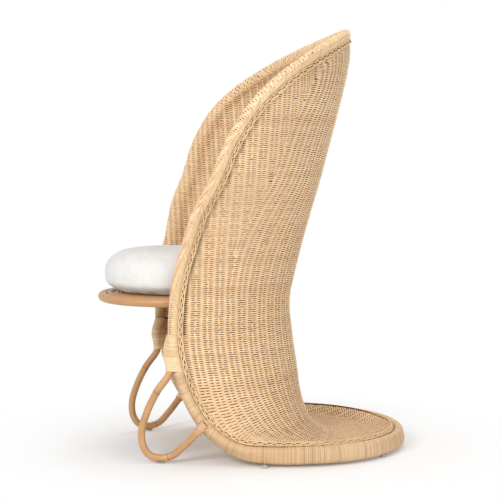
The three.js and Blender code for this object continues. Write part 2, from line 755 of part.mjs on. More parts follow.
const leg = cut(legForms.pole, [seatRingRoom, baseBindingRoom, ...screwRooms, ...nailRooms]);
const collar = cut(collarForm(bindingRadius), [rimPoleRoom, legForms.room, shellRoomToPole]);
const wrap = cut(wrapForm(legPoleRadius + legWrapThickness), [legForms.room, baseBindingRoom]);
[['right', (form) => form], ['left', mirrorGeometry]].forEach(([side, turned]) => {
  addPiece(`${side}_leg`, turned(leg), 'pole');
  addPiece(`${side}_leg_collar`, turned(collar), 'binding');
  addPiece(`${side}_leg_wrap`, turned(wrap), 'binding');
  Object.entries(glidePlaces).forEach(([place, [point, height]]) => {
    addPiece(`${side}_${place}_glide`, turned(onFloor(glide(height), point)), 'plastic');
  });
  Object.entries(screwPlaces).forEach(([place, [length, head, way]]) => {
    addPiece(`${side}_${place}_screw`, turned(placed(screw(length), head, way)), 'metal');
  });
});

addPiece('seat_ring', cut(seatRing, screwRooms), 'pole');
addPiece('inner_seat_ring', innerRing, 'pole');
addPiece('seat_coil', coilForm(), 'pole');
addPiece('front_cross_bar', crossBar(-crossBarSpacing / 2), 'pole');
addPiece('rear_cross_bar', crossBar(crossBarSpacing / 2), 'pole');
addPiece('seat_back_bar', backBar, 'pole');
addPiece('cushion', loft(cushionRings), 'cloth');

// The origin goes under the middle of the length
const bounds = new THREE.Box3().setFromObject(chair);
chair.position.y = -(bounds.min.y + bounds.max.y) / 2;

export default chair;
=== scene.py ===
# %% [markdown]
# # A peacock chair in rattan
# This notebook dresses a CAD model of a peacock chair with the surfaces of the real one: a woven
# hood and tail, peel wound round bent poles, a braid along the edge and a loose cushion. The CAD model is
# loaded first and never changes. Everything made here lies where it says, in metres.

# %% Load the CAD model
import json
import math

import bpy
import numpy as np
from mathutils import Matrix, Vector

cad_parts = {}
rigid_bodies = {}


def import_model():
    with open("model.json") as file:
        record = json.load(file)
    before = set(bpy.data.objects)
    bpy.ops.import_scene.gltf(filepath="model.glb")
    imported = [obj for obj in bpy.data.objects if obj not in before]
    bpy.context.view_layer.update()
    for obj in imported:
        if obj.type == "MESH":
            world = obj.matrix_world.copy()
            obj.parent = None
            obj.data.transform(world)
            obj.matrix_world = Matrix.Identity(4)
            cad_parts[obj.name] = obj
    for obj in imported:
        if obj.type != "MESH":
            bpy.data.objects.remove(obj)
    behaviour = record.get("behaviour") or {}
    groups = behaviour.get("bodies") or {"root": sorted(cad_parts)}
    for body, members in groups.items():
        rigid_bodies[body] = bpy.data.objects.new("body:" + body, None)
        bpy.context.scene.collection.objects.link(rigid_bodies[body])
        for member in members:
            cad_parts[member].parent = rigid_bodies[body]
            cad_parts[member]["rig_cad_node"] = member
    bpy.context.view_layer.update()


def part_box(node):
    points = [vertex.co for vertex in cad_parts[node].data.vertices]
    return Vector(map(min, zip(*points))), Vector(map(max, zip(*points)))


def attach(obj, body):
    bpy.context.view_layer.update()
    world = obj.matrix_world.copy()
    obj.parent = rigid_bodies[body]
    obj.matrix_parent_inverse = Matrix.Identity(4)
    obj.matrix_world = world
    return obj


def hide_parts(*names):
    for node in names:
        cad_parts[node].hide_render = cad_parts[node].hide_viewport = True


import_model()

# %% [markdown]
# ## The chair's sizes
# A maker would build this chair round a few sizes: how high the crown is, how wide the hood, how far the
# tail reaches, and where the seat sits. The same sizes are repeated here from the CAD model.

# %% Sizes
CROWN_HEIGHT = 1.137
HOOD_HALF_WIDTH = 0.441
TAIL_REACH = 0.417
SEAT_HEIGHT = 0.4215
SEAT_CENTRE_Y = -0.2115
FOOT_FORWARD = 0.318
FOOT_HALF_WIDTH = 0.217
RIM_POLE_RADIUS = 0.010
BINDING_RADIUS = 0.013
LEG_POLE_RADIUS = 0.00975
SEAT_POLE_RADIUS = 0.0125
INNER_RING_RADIUS = 0.006
COIL_ROD_RADIUS = 0.0055
COIL_LOOPS = 13
COIL_CORE_RADIUS = 0.012
GAP = 0.0003
COLLAR_TOP = 0.338
CROTCH_HEIGHT = 0.243
JUNCTION_HEIGHT = 0.105
LEG_WRAP_LENGTH = 0.030
LEG_BURIED = 0.016
BAND_GLIDE_HEIGHT = 0.0075
LEG_GLIDE_HEIGHT = 0.0045
GLIDE_RADIUS = 0.010
CUSHION_THICKNESS = 0.118
CUSHION_INSET = 0.0037

POLE_SPACING = 2 * RIM_POLE_RADIUS + GAP
TAIL_RIM_HEIGHT = BAND_GLIDE_HEIGHT + GAP + BINDING_RADIUS + POLE_SPACING
RIM_RISE = CROWN_HEIGHT - TAIL_RIM_HEIGHT
SHELL_EDGE = RIM_POLE_RADIUS + 2 * GAP
UP = np.array([0.0, 0.0, 1.0])

seat_low, seat_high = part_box("seat_ring")
Y_SHIFT = (seat_low.y + seat_high.y) / 2 - SEAT_CENTRE_Y
print("the CAD frame lies", round(Y_SHIFT * 1000, 2), "mm along y from these sizes")

# %% [markdown]
# ## The lines of the frame
# The rim is one long pole, steamed and bent. Its line is a smooth curve through stations that run from the
# top of the crown down the side, along the heel and round to the tail. Each station also says where the
# middle of the back lies, how the weave leaves the rim, and how wide it is flat in the middle.

# %% Stations
STATIONS = [
    # rim across, rearward, rise; spine rearward, rise; lean across, rearward, rise; flat half width
    (0, 0.61, 1, 0.61, 1, 0, 0.014, -0.0155, 0),
    (0.363, 0.563, 0.992, 0.635, 0.962, -0.091, 0.053, -0.024, 0.14),
    (0.646, 0.439, 0.969, 0.631, 0.941, -0.17, 0.12, -0.02, 0.3),
    (0.866, 0.24, 0.926, 0.614, 0.907, -0.163, 0.223, -0.009, 0.44),
    (0.982, 0.029, 0.87, 0.591, 0.861, -0.122, 0.312, -0.002, 0.522),
    (0.992, -0.115, 0.816, 0.564, 0.816, -0.095, 0.372, 0.004, 0.544),
    (0.926, -0.248, 0.734, 0.513, 0.734, -0.063, 0.417, 0.002, 0.517),
    (0.832, -0.338, 0.642, 0.453, 0.642, -0.045, 0.439, 0, 0.472),
    (0.71, -0.428, 0.567, 0.4, 0.567, -0.029, 0.451, 0, 0.401),
    (0.606, -0.473, 0.501, 0.353, 0.501, -0.016, 0.456, 0, 0.345),
    (0.531, -0.528, 0.419, 0.3, 0.419, -0.007, 0.456, 0, 0.308),
    (0.503, -0.556, 0.337, 0.257, 0.337, -0.005, 0.456, 0, 0.295),
    (0.503, -0.559, 0.245, 0.276, 0.247, -0.005, 0.456, 0, 0.295),
    (0.512, -0.513, 0.165, 0.305, 0.171, -0.011, 0.436, 0.006, 0.302),
    (0.551, -0.432, 0.092, 0.319, 0.127, -0.027, 0.379, 0.02, 0.32),
    (0.621, -0.307, 0.036, 0.333, 0.095, -0.068, 0.269, 0.041, 0.34),
    (0.68, -0.156, 0.006, 0.357, 0.064, -0.136, 0.158, 0.049, 0.34),
    (0.719, 0.024, 0, 0.403, 0.028, -0.2, 0.082, 0.027, 0.345),
    (0.728, 0.24, 0, 0.484, 0.003, -0.236, 0.043, 0.003, 0.345),
    (0.689, 0.492, 0, 0.588, -0.008, -0.229, 0, -0.007, 0.322),
    (0.58, 0.707, 0, 0.7, -0.011, -0.181, -0.024, -0.007, 0.268),
    (0.39, 0.885, 0, 0.803, -0.0095, -0.109, -0.043, -0.006, 0.181),
    (0.2, 0.971, 0, 0.899, -0.007, -0.045, -0.043, -0.005, 0.095),
    (0, 1, 0, 1, 0, 0, -0.05, -0.004, 0),
]

# %% [markdown]
# A bent pole has no corners, so its line is a curve that passes softly through every station. It weighs each
# station by its distance to the next, which keeps tight bends calm. The even kind of the same curve is for
# ways and widths, which have no distances of their own.

# %% Smooth lines
TINY = 1e-9


def unit(ways):
    return ways / np.linalg.norm(ways, axis=-1, keepdims=True)


def smooth_line(points, closed=False, even=False):
    """A smooth curve through points, as a function of turns from 0 to 1."""
    points = np.asarray(points, float)
    spans = len(points) if closed else len(points) - 1
    if closed:
        held = np.vstack([points[-1:], points, points[:2]])
    else:
        held = np.vstack([2 * points[0] - points[1], points, 2 * points[-1] - points[-2]])

    def at(turns):
        run = np.atleast_1d(np.asarray(turns, float)) * spans
        if closed:
            run = np.mod(run, spans)
        span = np.clip(np.floor(run).astype(int), 0, spans - 1)
        share = (run - span)[:, None]
        before, here, there, after = (held[span + k] for k in range(4))
        if even:
            leave, arrive = (there - before) / 2, (after - here) / 2
        else:
            gap_before, gap, gap_after = (
                np.maximum(np.linalg.norm(b - a, axis=1, keepdims=True), TINY) ** 0.5
                for a, b in ((before, here), (here, there), (there, after))
            )
            step_in, step, step_out = here - before, there - here, after - there
            leave = (step_in / gap_before - (there - before) / (gap_before + gap) + step / gap) * gap
            arrive = (step / gap - (after - here) / (gap + gap_after) + step_out / gap_after) * gap
        bend = 3 * (there - here) - 2 * leave - arrive
        twist = 2 * (here - there) + leave + arrive
        return here + share * (leave + share * (bend + share * twist))

    return at


stations = np.array(STATIONS, float)
whole = np.array([HOOD_HALF_WIDTH, TAIL_REACH, RIM_RISE])
lift = np.array([0, Y_SHIFT, TAIL_RIM_HEIGHT])
MIRROR = np.array([-1.0, 1.0, 1.0])
near_rim = stations[:, 0:3] * whole + lift
rim_line = smooth_line(np.vstack([near_rim, near_rim[-2:0:-1] * MIRROR]), closed=True)
spine_line = smooth_line(np.column_stack([0 * stations[:, 3], stations[:, 3:5]]) * whole + lift)
lean_line = smooth_line(stations[:, 5:8] * whole, even=True)
flat_line = smooth_line(stations[:, 8:9] * HOOD_HALF_WIDTH, even=True)
print("the rim goes through", 2 * len(stations) - 2, "stations")

# %% [markdown]
# Everything on the rim is placed by its turn, a share of the whole loop from the crown round and back. At
# each turn two directions matter: the way out of the weave's surface and the way past its edge. The places
# where the leg collars begin and end are known by height, so their turns are found by halving a stretch.

# %% Places on the rim
HALVINGS = 40


def heading(line, turns, tick=1e-4):
    """The way a line runs at some turns."""
    return unit(line(np.asarray(turns) + tick) - line(np.asarray(turns) - tick))


def rim_frame(turns):
    """The rim's centre, the weave's way out and the way past its edge, at turns of the whole loop."""
    turns = np.mod(np.atleast_1d(turns), 1.0)
    near = np.minimum(turns, 1 - turns)
    along = heading(rim_line, near)
    out = unit(np.cross(along, lean_line(2 * near)))
    side = np.where(turns > 0.5, -1.0, 1.0)[:, None] * np.array([1, 0, 0]) + np.array([0, 1.0, 1.0])
    return rim_line(near) * side, out * side, np.cross(along, out) * side


def last_before(low, high, holds):
    """The last value between low and high for which something still holds, by halving."""
    for _ in range(HALVINGS):
        middle = (low + high) / 2
        if holds(middle):
            low = middle
        else:
            high = middle
    return low


def turn_at(height):
    """The rim's turn where it comes down to a height."""
    return last_before(0, 0.5, lambda turn: rim_line(turn)[0, 2] >= height)


collar_turn = turn_at(COLLAR_TOP)
crotch_turn = turn_at(CROTCH_HEIGHT)
print("collar from turn", round(collar_turn, 3), "to", round(crotch_turn, 3))

# %% [markdown]
# ## A bundle of strands
# Woven furniture is hundreds of thin strands. Making one object for each would be slow, so a bundle
# gathers many tubes in one mesh. Each tube also carries what the finish needs: a tone of its own, how deep
# each point lies between its neighbours, and its place along and around the strand.

# %% Bundle
def lengths(points):
    """How far along a line each of its points lies."""
    return np.concatenate([[0], np.cumsum(np.linalg.norm(np.diff(points, axis=0), axis=1))])


def placed(name, data):
    """A new object in the scene."""
    made = bpy.data.objects.new(name, data)
    bpy.context.scene.collection.objects.link(made)
    return made


class Bundle:
    VALUES = ("tone", "crest", "along", "around")

    def __init__(self):
        self.points, self.loops, self.sizes = [], [], []
        self.values = {name: [] for name in self.VALUES}
        self.count = 0

    def tube(self, rings, closed=False, **values):
        """Joins rings of points into a closed tube, with its faces turned outwards."""
        rings = np.asarray(rings, float)
        steps, sides = rings.shape[:2]
        ring = np.arange(steps if closed else steps - 1)[:, None] * sides
        after = (ring + sides) % (steps * sides)
        place = np.arange(sides)[None, :]
        beside = (place + 1) % sides
        corners = (ring + place, ring + beside, after + beside, after + place)
        quads = np.stack(corners, axis=-1).reshape(-1, 4)
        flat = rings.reshape(-1, 3)
        corner = flat[quads] - flat.mean(0)
        volume = np.einsum("ij,ij->", corner[:, 0], np.cross(corner[:, 1], corner[:, 2]))
        volume += np.einsum("ij,ij->", corner[:, 0], np.cross(corner[:, 2], corner[:, 3]))
        caps = [] if closed else [np.arange(sides)[::-1], (steps - 1) * sides + np.arange(sides)]
        if volume < 0:
            quads, caps = quads[:, ::-1], [cap[::-1] for cap in caps]
        self.points.append(flat)
        self.loops.append(quads.ravel() + self.count)
        self.sizes.append(np.full(len(quads), 4))
        for cap in caps:
            self.loops.append(cap + self.count)
            self.sizes.append([sides])
        values.setdefault("around", np.broadcast_to(np.arange(sides) / sides, (steps, sides)))
        values.setdefault("along", lengths(rings.mean(axis=1))[:, None])
        for name in self.VALUES:
            value = np.asarray(values.get(name, 0.5), float)
            self.values[name].append(np.broadcast_to(value, (steps, sides)).ravel())
        self.count += len(flat)

    def mesh(self, name):
        """One mesh with all the tubes, smooth, with their values on its points."""
        mesh = bpy.data.meshes.new(name)
        points = np.concatenate(self.points)
        loops = np.concatenate(self.loops)
        sizes = np.concatenate(self.sizes).astype(np.int32)
        mesh.vertices.add(len(points))
        mesh.vertices.foreach_set("co", points.astype(np.float32).ravel())
        mesh.loops.add(len(loops))
        mesh.loops.foreach_set("vertex_index", loops.astype(np.int32))
        mesh.polygons.add(len(sizes))
        starts = np.concatenate([[0], np.cumsum(sizes)[:-1]]).astype(np.int32)
        mesh.polygons.foreach_set("loop_start", starts)
        mesh.polygons.foreach_set("use_smooth", np.ones(len(sizes), bool))
        for value, parts in self.values.items():
            layer = mesh.attributes.new(value, "FLOAT", "POINT")
            layer.data.foreach_set("value", np.concatenate(parts).astype(np.float32))
        mesh.update(calc_edges=True)
        mesh.validate()
        return mesh

    def build(self, name, slot, *nodes, material=None):
        """Makes the piece, lets it ride on the frame and hides the CAD nodes that it stands for."""
        made = placed(name, self.mesh(name))
        if material:
            made.data.materials.append(material)
        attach(made, "frame")
        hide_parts(*nodes)
        print(f"{name}: {len(made.data.polygons)} faces")
        return made


# %% [markdown]
# ## Finishes
# A finish is a small network of nodes that works out a colour and a roughness for each point. The same few
# moves come again and again: a value read from the strand, noise, a ramp of colours, a mix of two colours,
# a sum, and a bump. Each gets a helper, so that a recipe below reads as a list of what the eye sees.

# %% Node helpers
MIX_SHARE, MIX_RESULT, MIX_FIRST, MIX_SECOND = 0, 2, 6, 7


def new_material(name, roughness, specular=0.4, sheen=0.0):
    material = bpy.data.materials.new(name)
    material.use_nodes = True
    nodes = material.node_tree.nodes
    shader = nodes["Principled BSDF"]
    shader.inputs["Roughness"].default_value = roughness
    shader.inputs["Specular IOR Level"].default_value = specular
    shader.inputs["Sheen Weight"].default_value = sheen
    return material, nodes, material.node_tree.links, shader


def add_node(nodes, kind, inputs=None, **settings):
    node = nodes.new(kind)
    for key, value in settings.items():
        setattr(node, key, value)
    for key, value in (inputs or {}).items():
        node.inputs[key].default_value = value
    return node


def strand_value(nodes, name):
    """A value that the strands carry on their points."""
    return add_node(nodes, "ShaderNodeAttribute", attribute_name=name).outputs["Fac"]


def object_place(nodes):
    """Where a point lies on the object, in metres."""
    return nodes.new("ShaderNodeTexCoord").outputs["Object"]


def noise(nodes, links, place, scale, detail=2.0, roughness=0.5):
    """A cloudy value between 0 and 1."""
    node = add_node(nodes, "ShaderNodeTexNoise", {"Scale": scale, "Detail": detail, "Roughness": roughness})
    links.new(place, node.inputs["Vector"])
    return node.outputs[0]


def ramp(nodes, links, source, *stops):
    """Colours along a value from 0 to 1."""
    node = nodes.new("ShaderNodeValToRGB")
    elements = node.color_ramp.elements
    while len(elements) < len(stops):
        elements.new(0.5)
    for element, (place, colour) in zip(elements, stops):
        element.position = place
        element.color = (*colour, 1)
    links.new(source, node.inputs["Fac"])
    return node.outputs["Color"]


def mixed(nodes, links, first, second, share):
    """A mix of two colours. Each of the three may be a plain value or another node's result."""
    node = add_node(nodes, "ShaderNodeMix", data_type="RGBA")
    for socket, value in ((MIX_FIRST, first), (MIX_SECOND, second), (MIX_SHARE, share)):
        if isinstance(value, tuple):
            node.inputs[socket].default_value = (*value, 1)
        elif isinstance(value, float):
            node.inputs[socket].default_value = value
        else:
            links.new(value, node.inputs[socket])
    return node.outputs[MIX_RESULT]


def sum_of(nodes, links, first, factor, second):
    """The first value times a factor, plus the second, which may be a plain number."""
    node = add_node(nodes, "ShaderNodeMath", operation="MULTIPLY_ADD", inputs={1: factor})
    links.new(first, node.inputs[0])
    if isinstance(second, float):
        node.inputs[2].default_value = second
    else:
        links.new(second, node.inputs[2])
    return node.outputs[0]


def bumped(nodes, links, height, strength, distance, under=None):
    """A surface direction that follows a height, over another one if it is given."""
    node = add_node(nodes, "ShaderNodeBump", {"Strength": strength, "Distance": distance})
    links.new(height, node.inputs["Height"])
    if under:
        links.new(under, node.inputs["Normal"])
    return node.outputs[0]


def grey(value):
    return (value, value, value)


def linear(red, green, blue):
    """A colour as seen on screen, 0 to 255, in the renderer's light values."""
    return tuple(((c / 255 + 0.055) / 1.055) ** 2.4 for c in (red, green, blue))


# %% [markdown]
# Rattan is sold as poles, as the peel split off them, and as the thin core. All of them are blond wood
# fibre: pale between the knots, with fine streaks along the grain and slow stains across many strands. The
# recipe also paints shade: it darkens the grooves and the places where strands dip under each other. One
# recipe makes each of these finishes. It stretches noise along the strand for the grain, because a picture
# of rattan would repeat and would not follow the strands.

# %% Rattan recipe
GRAIN_ALONG = 12.0
GRAIN_OF_TONE = 90.0
TONE_SPREAD = 0.35
FIBRE_PLACES = (0.2, 0.5, 0.85)
STAIN_SHARE = 0.55
STAIN_STOPS = ((0.45, grey(0)), (0.72, grey(0.8)))
PAINTED_SHADE_AND_SCAR_STOPS = ((0.0, grey(1)), (0.2, grey(0.6)), (0.45, grey(0)))
GRAIN_STRENGTH = 0.35
GRAIN_DEPTH = 0.0004
GRAIN_ROUGHNESS = 0.25
ROUGHNESS_BELOW = 0.12


def rattan(name, deep, body, bright, stain, streaks=12.0, spread=0.45, roughness=0.55, mottle=5.0):
    """Blond fibre with streaks and slow stains; a low crest gives painted shade, or a knot's dark scar."""
    material, nodes, links, shader = new_material(name, roughness)
    along, around = strand_value(nodes, "along"), strand_value(nodes, "around")
    tone, crest = strand_value(nodes, "tone"), strand_value(nodes, "crest")
    place = add_node(nodes, "ShaderNodeCombineXYZ")
    stretch = ((along, GRAIN_ALONG), (around, streaks), (tone, GRAIN_OF_TONE))
    for socket, (value, factor) in enumerate(stretch):
        links.new(sum_of(nodes, links, value, factor, 0.0), place.inputs[socket])
    grain = noise(nodes, links, place.outputs[0], 1.0, 3.0, 0.6)
    cloud = noise(nodes, links, object_place(nodes), mottle, 4.0, 0.55)

    lightness = sum_of(nodes, links, grain, spread, -spread / 2 + 0.5)
    own = sum_of(nodes, links, tone, TONE_SPREAD, -TONE_SPREAD / 2)
    lightness = sum_of(nodes, links, own, 1.0, lightness)
    fibre = ramp(nodes, links, lightness, *zip(FIBRE_PLACES, (stain, body, bright)))
    stained = mixed(nodes, links, fibre, mixed(nodes, links, fibre, stain, STAIN_SHARE),
                    ramp(nodes, links, cloud, *STAIN_STOPS))
    # Painted shade: where the crest is low, the colour mixes towards the deep colour (on poles, a knot's
    # scar).
    grooves = ramp(nodes, links, crest, *PAINTED_SHADE_AND_SCAR_STOPS)
    links.new(mixed(nodes, links, stained, deep, grooves), shader.inputs["Base Color"])

    links.new(bumped(nodes, links, grain, GRAIN_STRENGTH, GRAIN_DEPTH), shader.inputs["Normal"])
    rough = sum_of(nodes, links, grain, GRAIN_ROUGHNESS, roughness - ROUGHNESS_BELOW)
    links.new(rough, shader.inputs["Roughness"])
    return material


# %% [markdown]
# The same rattan looks different on each piece. The thin core of the weave is dull and pale, wound peel is
# smoother, the band near the floor is darker, and the poles keep their brown, glossy skin. The streaks are
# about how many light and dark lines lie round one strand or pole.

# %% Rattan finishes
# The first colour of each finish is its deep colour, which painted shade mixes in; on the poles it is the
# colour of the dark scars at the knots. weave_shade is painted shade all over, for the layer inside the
# weave.
weave_finish = rattan("woven_core", linear(150, 110, 72), linear(235, 202, 160), linear(247, 220, 179),
                      linear(220, 182, 141), streaks=4.0, roughness=0.62, mottle=6.0)
inside_shade_finish = rattan("weave_shade", linear(112, 78, 46), linear(128, 92, 56), linear(150, 110, 72),
                       linear(92, 62, 36), streaks=4.0, roughness=0.8, mottle=30.0)
binding_finish = rattan("wound_peel", linear(116, 80, 48), linear(226, 196, 154), linear(240, 215, 174),
                        linear(204, 166, 120), streaks=10.0, roughness=0.55, mottle=9.0)
band_finish = rattan("band_peel", linear(128, 92, 58), linear(208, 176, 136), linear(222, 192, 152),
                     linear(190, 152, 110), streaks=10.0, roughness=0.5, spread=0.35, mottle=9.0)
braid_finish = rattan("braided_core", linear(92, 60, 34), linear(236, 202, 156), linear(248, 220, 176),
                      linear(206, 164, 116), streaks=6.0, roughness=0.55, mottle=12.0)
pole_finish = rattan("rattan_pole", linear(94, 58, 30), linear(188, 143, 98), linear(213, 172, 123),
                     linear(150, 102, 62), streaks=18.0, spread=0.55, roughness=0.36, mottle=14.0)
wrap_finish = rattan("leg_wrap_peel", linear(110, 72, 48), linear(214, 174, 134), linear(238, 208, 168),
                     linear(188, 142, 104), streaks=8.0, roughness=0.5)
print("finishes:", ", ".join(m.name for m in bpy.data.materials))

# %% [markdown]
# ## The woven skin
# The weaver fixes upright stakes in pairs between crown and tail, then works thin core in and out of them,
# row on row. Every row is one curve across the back: level in the middle, then swept forward to the rim.
# The rows are set out first, at even spacing along a line halfway to the rim.

# %% Rows
ROW_PITCH = 0.0029
FIRST_PLACE = 1 / 200
LAST_PLACE = 1 - 1 / 64
ROW_SAMPLES = 161
TRIAL_ROWS = 900


def row_curves(places):
    """Points across one half of each row, from the spine to the rim."""
    centre, _, away = rim_frame(places / 2)
    spine = spine_line(places)
    flat = spine + flat_line(places) * np.array([1.0, 0, 0])
    ends = (spine, flat, centre + lean_line(places), centre - away * SHELL_EDGE)
    part = np.linspace(0, 1, ROW_SAMPLES)[None, :, None]
    shares = ((1 - part) ** 3, 3 * part * (1 - part) ** 2, 3 * part * part * (1 - part), part ** 3)
    return sum(share * end[:, None, :] for share, end in zip(shares, ends))


trial_places = np.linspace(FIRST_PLACE, LAST_PLACE, TRIAL_ROWS)
halfway_run = lengths(row_curves(trial_places)[:, ROW_SAMPLES // 2])
row_count = int(halfway_run[-1] / ROW_PITCH)
places = np.interp(np.linspace(0, halfway_run[-1], row_count), halfway_run, trial_places)
rows = row_curves(places)
row_run = np.cumsum(np.linalg.norm(np.diff(rows, axis=1), axis=2), axis=1)
row_run = np.concatenate([np.zeros((row_count, 1)), row_run], axis=1)
half_lengths = row_run[:, -1]
print(f"{row_count} rows, the widest {2 * half_lengths.max():.2f} m along the weave")

# %% [markdown]
# A strand needs two more things at every point of its row: the way out of the surface, and how much room it
# has before the next row. Both come from the differences between neighbouring points and rows.

# %% Surface of the rows
down = np.gradient(rows, axis=0)
across = np.gradient(rows, axis=1)
outward = np.cross(across, down)
outward[:, 0, 0] = 0
outward = unit(outward)
across = unit(across)
down -= across * np.sum(down * across, axis=2, keepdims=True)
row_gap = np.linalg.norm(down, axis=2)
rim_gap = np.linalg.norm(np.gradient(rim_line(places / 2), axis=0), axis=1)
print(f"rows lie {row_gap.min() * 1000:.1f} to {row_gap.max() * 1000:.1f} mm apart")

# %% [markdown]
# The stakes stand in pairs. Below the waist they fan out with the rows. Above it the stakes of the back keep
# their distance from the middle, while those of the sides run straight up until the rim cuts them off. In
# between, the weaver slips in new stakes, which leaves a seam of small irregular spots. The stakes
# themselves are hidden by the weave, so they are only counted here and no mesh is made of them.

# %% Stakes
PAIR_SPACING = 0.0325
PAIR_HALF = 0.22
SEAM_SHARE = 0.73
SEAM_HALF = 0.012
CROWN_WIDENING = 0.4
LEAST_RATE = 0.6
WAIST_SEARCH = (0.25, 0.6)

first_row, last_row = (int(row_count * share) for share in WAIST_SEARCH)
waist = first_row + int(np.argmin(half_lengths[first_row:last_row]))
widest_below = waist + int(np.argmax(half_lengths[waist:]))
widest_above = int(np.argmax(half_lengths[:waist]))
reach = half_lengths.copy()
reach[widest_below:] = half_lengths[widest_below]
waist_y = rows[waist, ::-1, 1]
waist_pairs = row_run[waist, ::-1] / PAIR_SPACING
print(f"the waist is row {waist}, with {waist_pairs[0]:.1f} pairs of stakes on each side")


def pair_count(row, run):
    """How many pairs of stakes lie between the middle and places on a row, and how many are slipped in."""
    even = run / PAIR_SPACING
    if row >= waist:
        return even * half_lengths[waist] / reach[row], 0 * run
    even = even / (1 + CROWN_WIDENING * min(1, (waist - row) / (waist - widest_above)))
    y = np.interp(run, row_run[row], rows[row, :, 1])
    upright = np.interp(y, waist_y, waist_pairs) - np.maximum(y - waist_y[-1], 0) / PAIR_SPACING
    seam = (SEAM_SHARE + (1 - SEAM_SHARE) * max(0, 1 - row / widest_above)) * half_lengths[row]
    rate = np.diff(upright, prepend=upright[0])
    least = LEAST_RATE * np.diff(even, prepend=even[0])
    upright = upright[0] + np.cumsum(np.where(run > seam, np.maximum(rate, least), rate))
    missing = np.round(np.interp(seam, run, even) - np.interp(seam, run, upright))
    blend = np.clip((run - seam) / SEAM_HALF / 2 + 0.5, 0, 1)
    return even * (1 - blend) + (upright + missing) * blend, missing * (run > seam)


def stake_phase(pairs):
    """Turns pairs into stakes: even numbers are middles of pairs, and the halves beside them are stakes."""
    whole_pairs = np.round(pairs)
    off = pairs - whole_pairs
    beyond = np.sign(off) * (0.5 + (np.abs(off) - PAIR_HALF) / (1 - 2 * PAIR_HALF))
    return 2 * whole_pairs + np.where(np.abs(off) < PAIR_HALF, off / (2 * PAIR_HALF), beyond)


# %% [markdown]
# The weave doesn't stop the same way everywhere. On the hood the rows roll on over the rim and hide the pole
# up to its outer side. Round the tail the edge rises to a low lip and then bends down to the band. Both are
# worked out for one half of a row, from the spine to the rim, and the other half mirrors it.

# %% Edges of the weave
ROLL_RADIUS = 0.0128
ROLL_BLEND = 0.035
ROLL_OVER = 1.3
SPREAD_RUN = 0.008
LIP_TURNS = (0.3, 0.36)
LIP_RISE = 0.016
LIP_RUN = 0.08
LIP_DROP = 0.018
LIP_FALL = 0.9
to_tail = np.linalg.norm(np.diff(rows[:, 0], axis=0), axis=1)[::-1].cumsum()[::-1]
to_tail = np.append(to_tail, 0) + SHELL_EDGE


def eased(share):
    """Starts and stops softly on its way from 0 to 1."""
    return share * share * (3 - 2 * share)


def lip_share(turns):
    """How much of the lip there is: none of it beside the legs, all of it round the tail."""
    return np.interp(np.minimum(turns, 1 - turns), LIP_TURNS, [0, 1])


def lip_height(row, run):
    """How far the weave rises to its lip, at runs from the spine."""
    left = np.minimum(half_lengths[row] - run, to_tail[row])
    climb = np.clip((LIP_RUN - left) / (LIP_RUN - LIP_DROP), 0, 1)
    drop = np.clip(1 - left / LIP_DROP, 0, 1)
    return LIP_RISE * lip_share(places[row] / 2) * (eased(climb) - LIP_FALL * drop * drop)


def row_at(row, run, values):
    """Values of one row's samples at given runs from the spine."""
    return np.column_stack([np.interp(run, row_run[row], values[row][:, k]) for k in range(3)])


def half_row(row, run, roll):
    """Points, ways out and row spacings at runs from the spine, with the roll or the lip at the end."""
    length = half_lengths[row]
    inside = np.minimum(run, length)
    points = row_at(row, inside, rows)
    ways = unit(row_at(row, inside, outward))
    spacing = np.interp(inside, row_run[row], row_gap[row])
    if roll:
        blend = eased(np.clip((run - (length - ROLL_BLEND)) / ROLL_BLEND, 0, 1))
        centre, out, away = (value[0] for value in rim_frame(places[row] / 2))
        points = points - ways * (blend * ROLL_RADIUS)[:, None]
        past = run > length
        spread = np.clip((run - length) / SPREAD_RUN + 1, 0, 1)
        spacing = spacing * (1 - spread) + rim_gap[row] * spread
        angle = math.pi / 2 - (run[past] - length - SHELL_EDGE) / ROLL_RADIUS
        flat = np.minimum(run[past] - length, SHELL_EDGE)
        angle = np.minimum(angle, math.pi / 2)
        arm = away * np.cos(angle)[:, None] - out * np.sin(angle)[:, None]
        points[past] = centre + arm * ROLL_RADIUS - away * (SHELL_EDGE - flat)[:, None]
        ways[past] = -arm
    else:
        points = points + ways * lip_height(row, inside)[:, None]
    return points, ways, spacing


def full_length(row, roll):
    """How far half a row runs, with its roll over the rim."""
    return half_lengths[row] + (SHELL_EDGE + ROLL_RADIUS * (math.pi / 2 + ROLL_OVER) if roll else 0)


def rolls_over(row):
    """Whether a row ends above the leg collars, where it rolls over the rim."""
    return places[row] / 2 < collar_turn


# %% [markdown]
# A strand passes in front of one pair of stakes and behind the next, and its neighbours do the opposite:
# that is plain weave over pairs. Behind a pair it shows as two short dark dashes with a light gap between.
# It gets only three points for each stake that it passes, which keeps the mesh light.

# %% Strands
SWING = 0.0023
SWING_SPREAD = (0.85, 1.1)
JITTER = 0.0002
STRAND_THICKNESS = 0.0011
STRAND_FILL = 0.53
SLIT_HALF = 0.0012
CORRUGATION = -0.0006
STEPS_PER_STAKE = 3
LONGEST_STEP = 0.015
FINE_SAMPLES = 700
PAIR_MIDDLE = -0.35
CALM_RUN = 0.02
LEAST_SWING = 0.5
rng = np.random.default_rng(7)


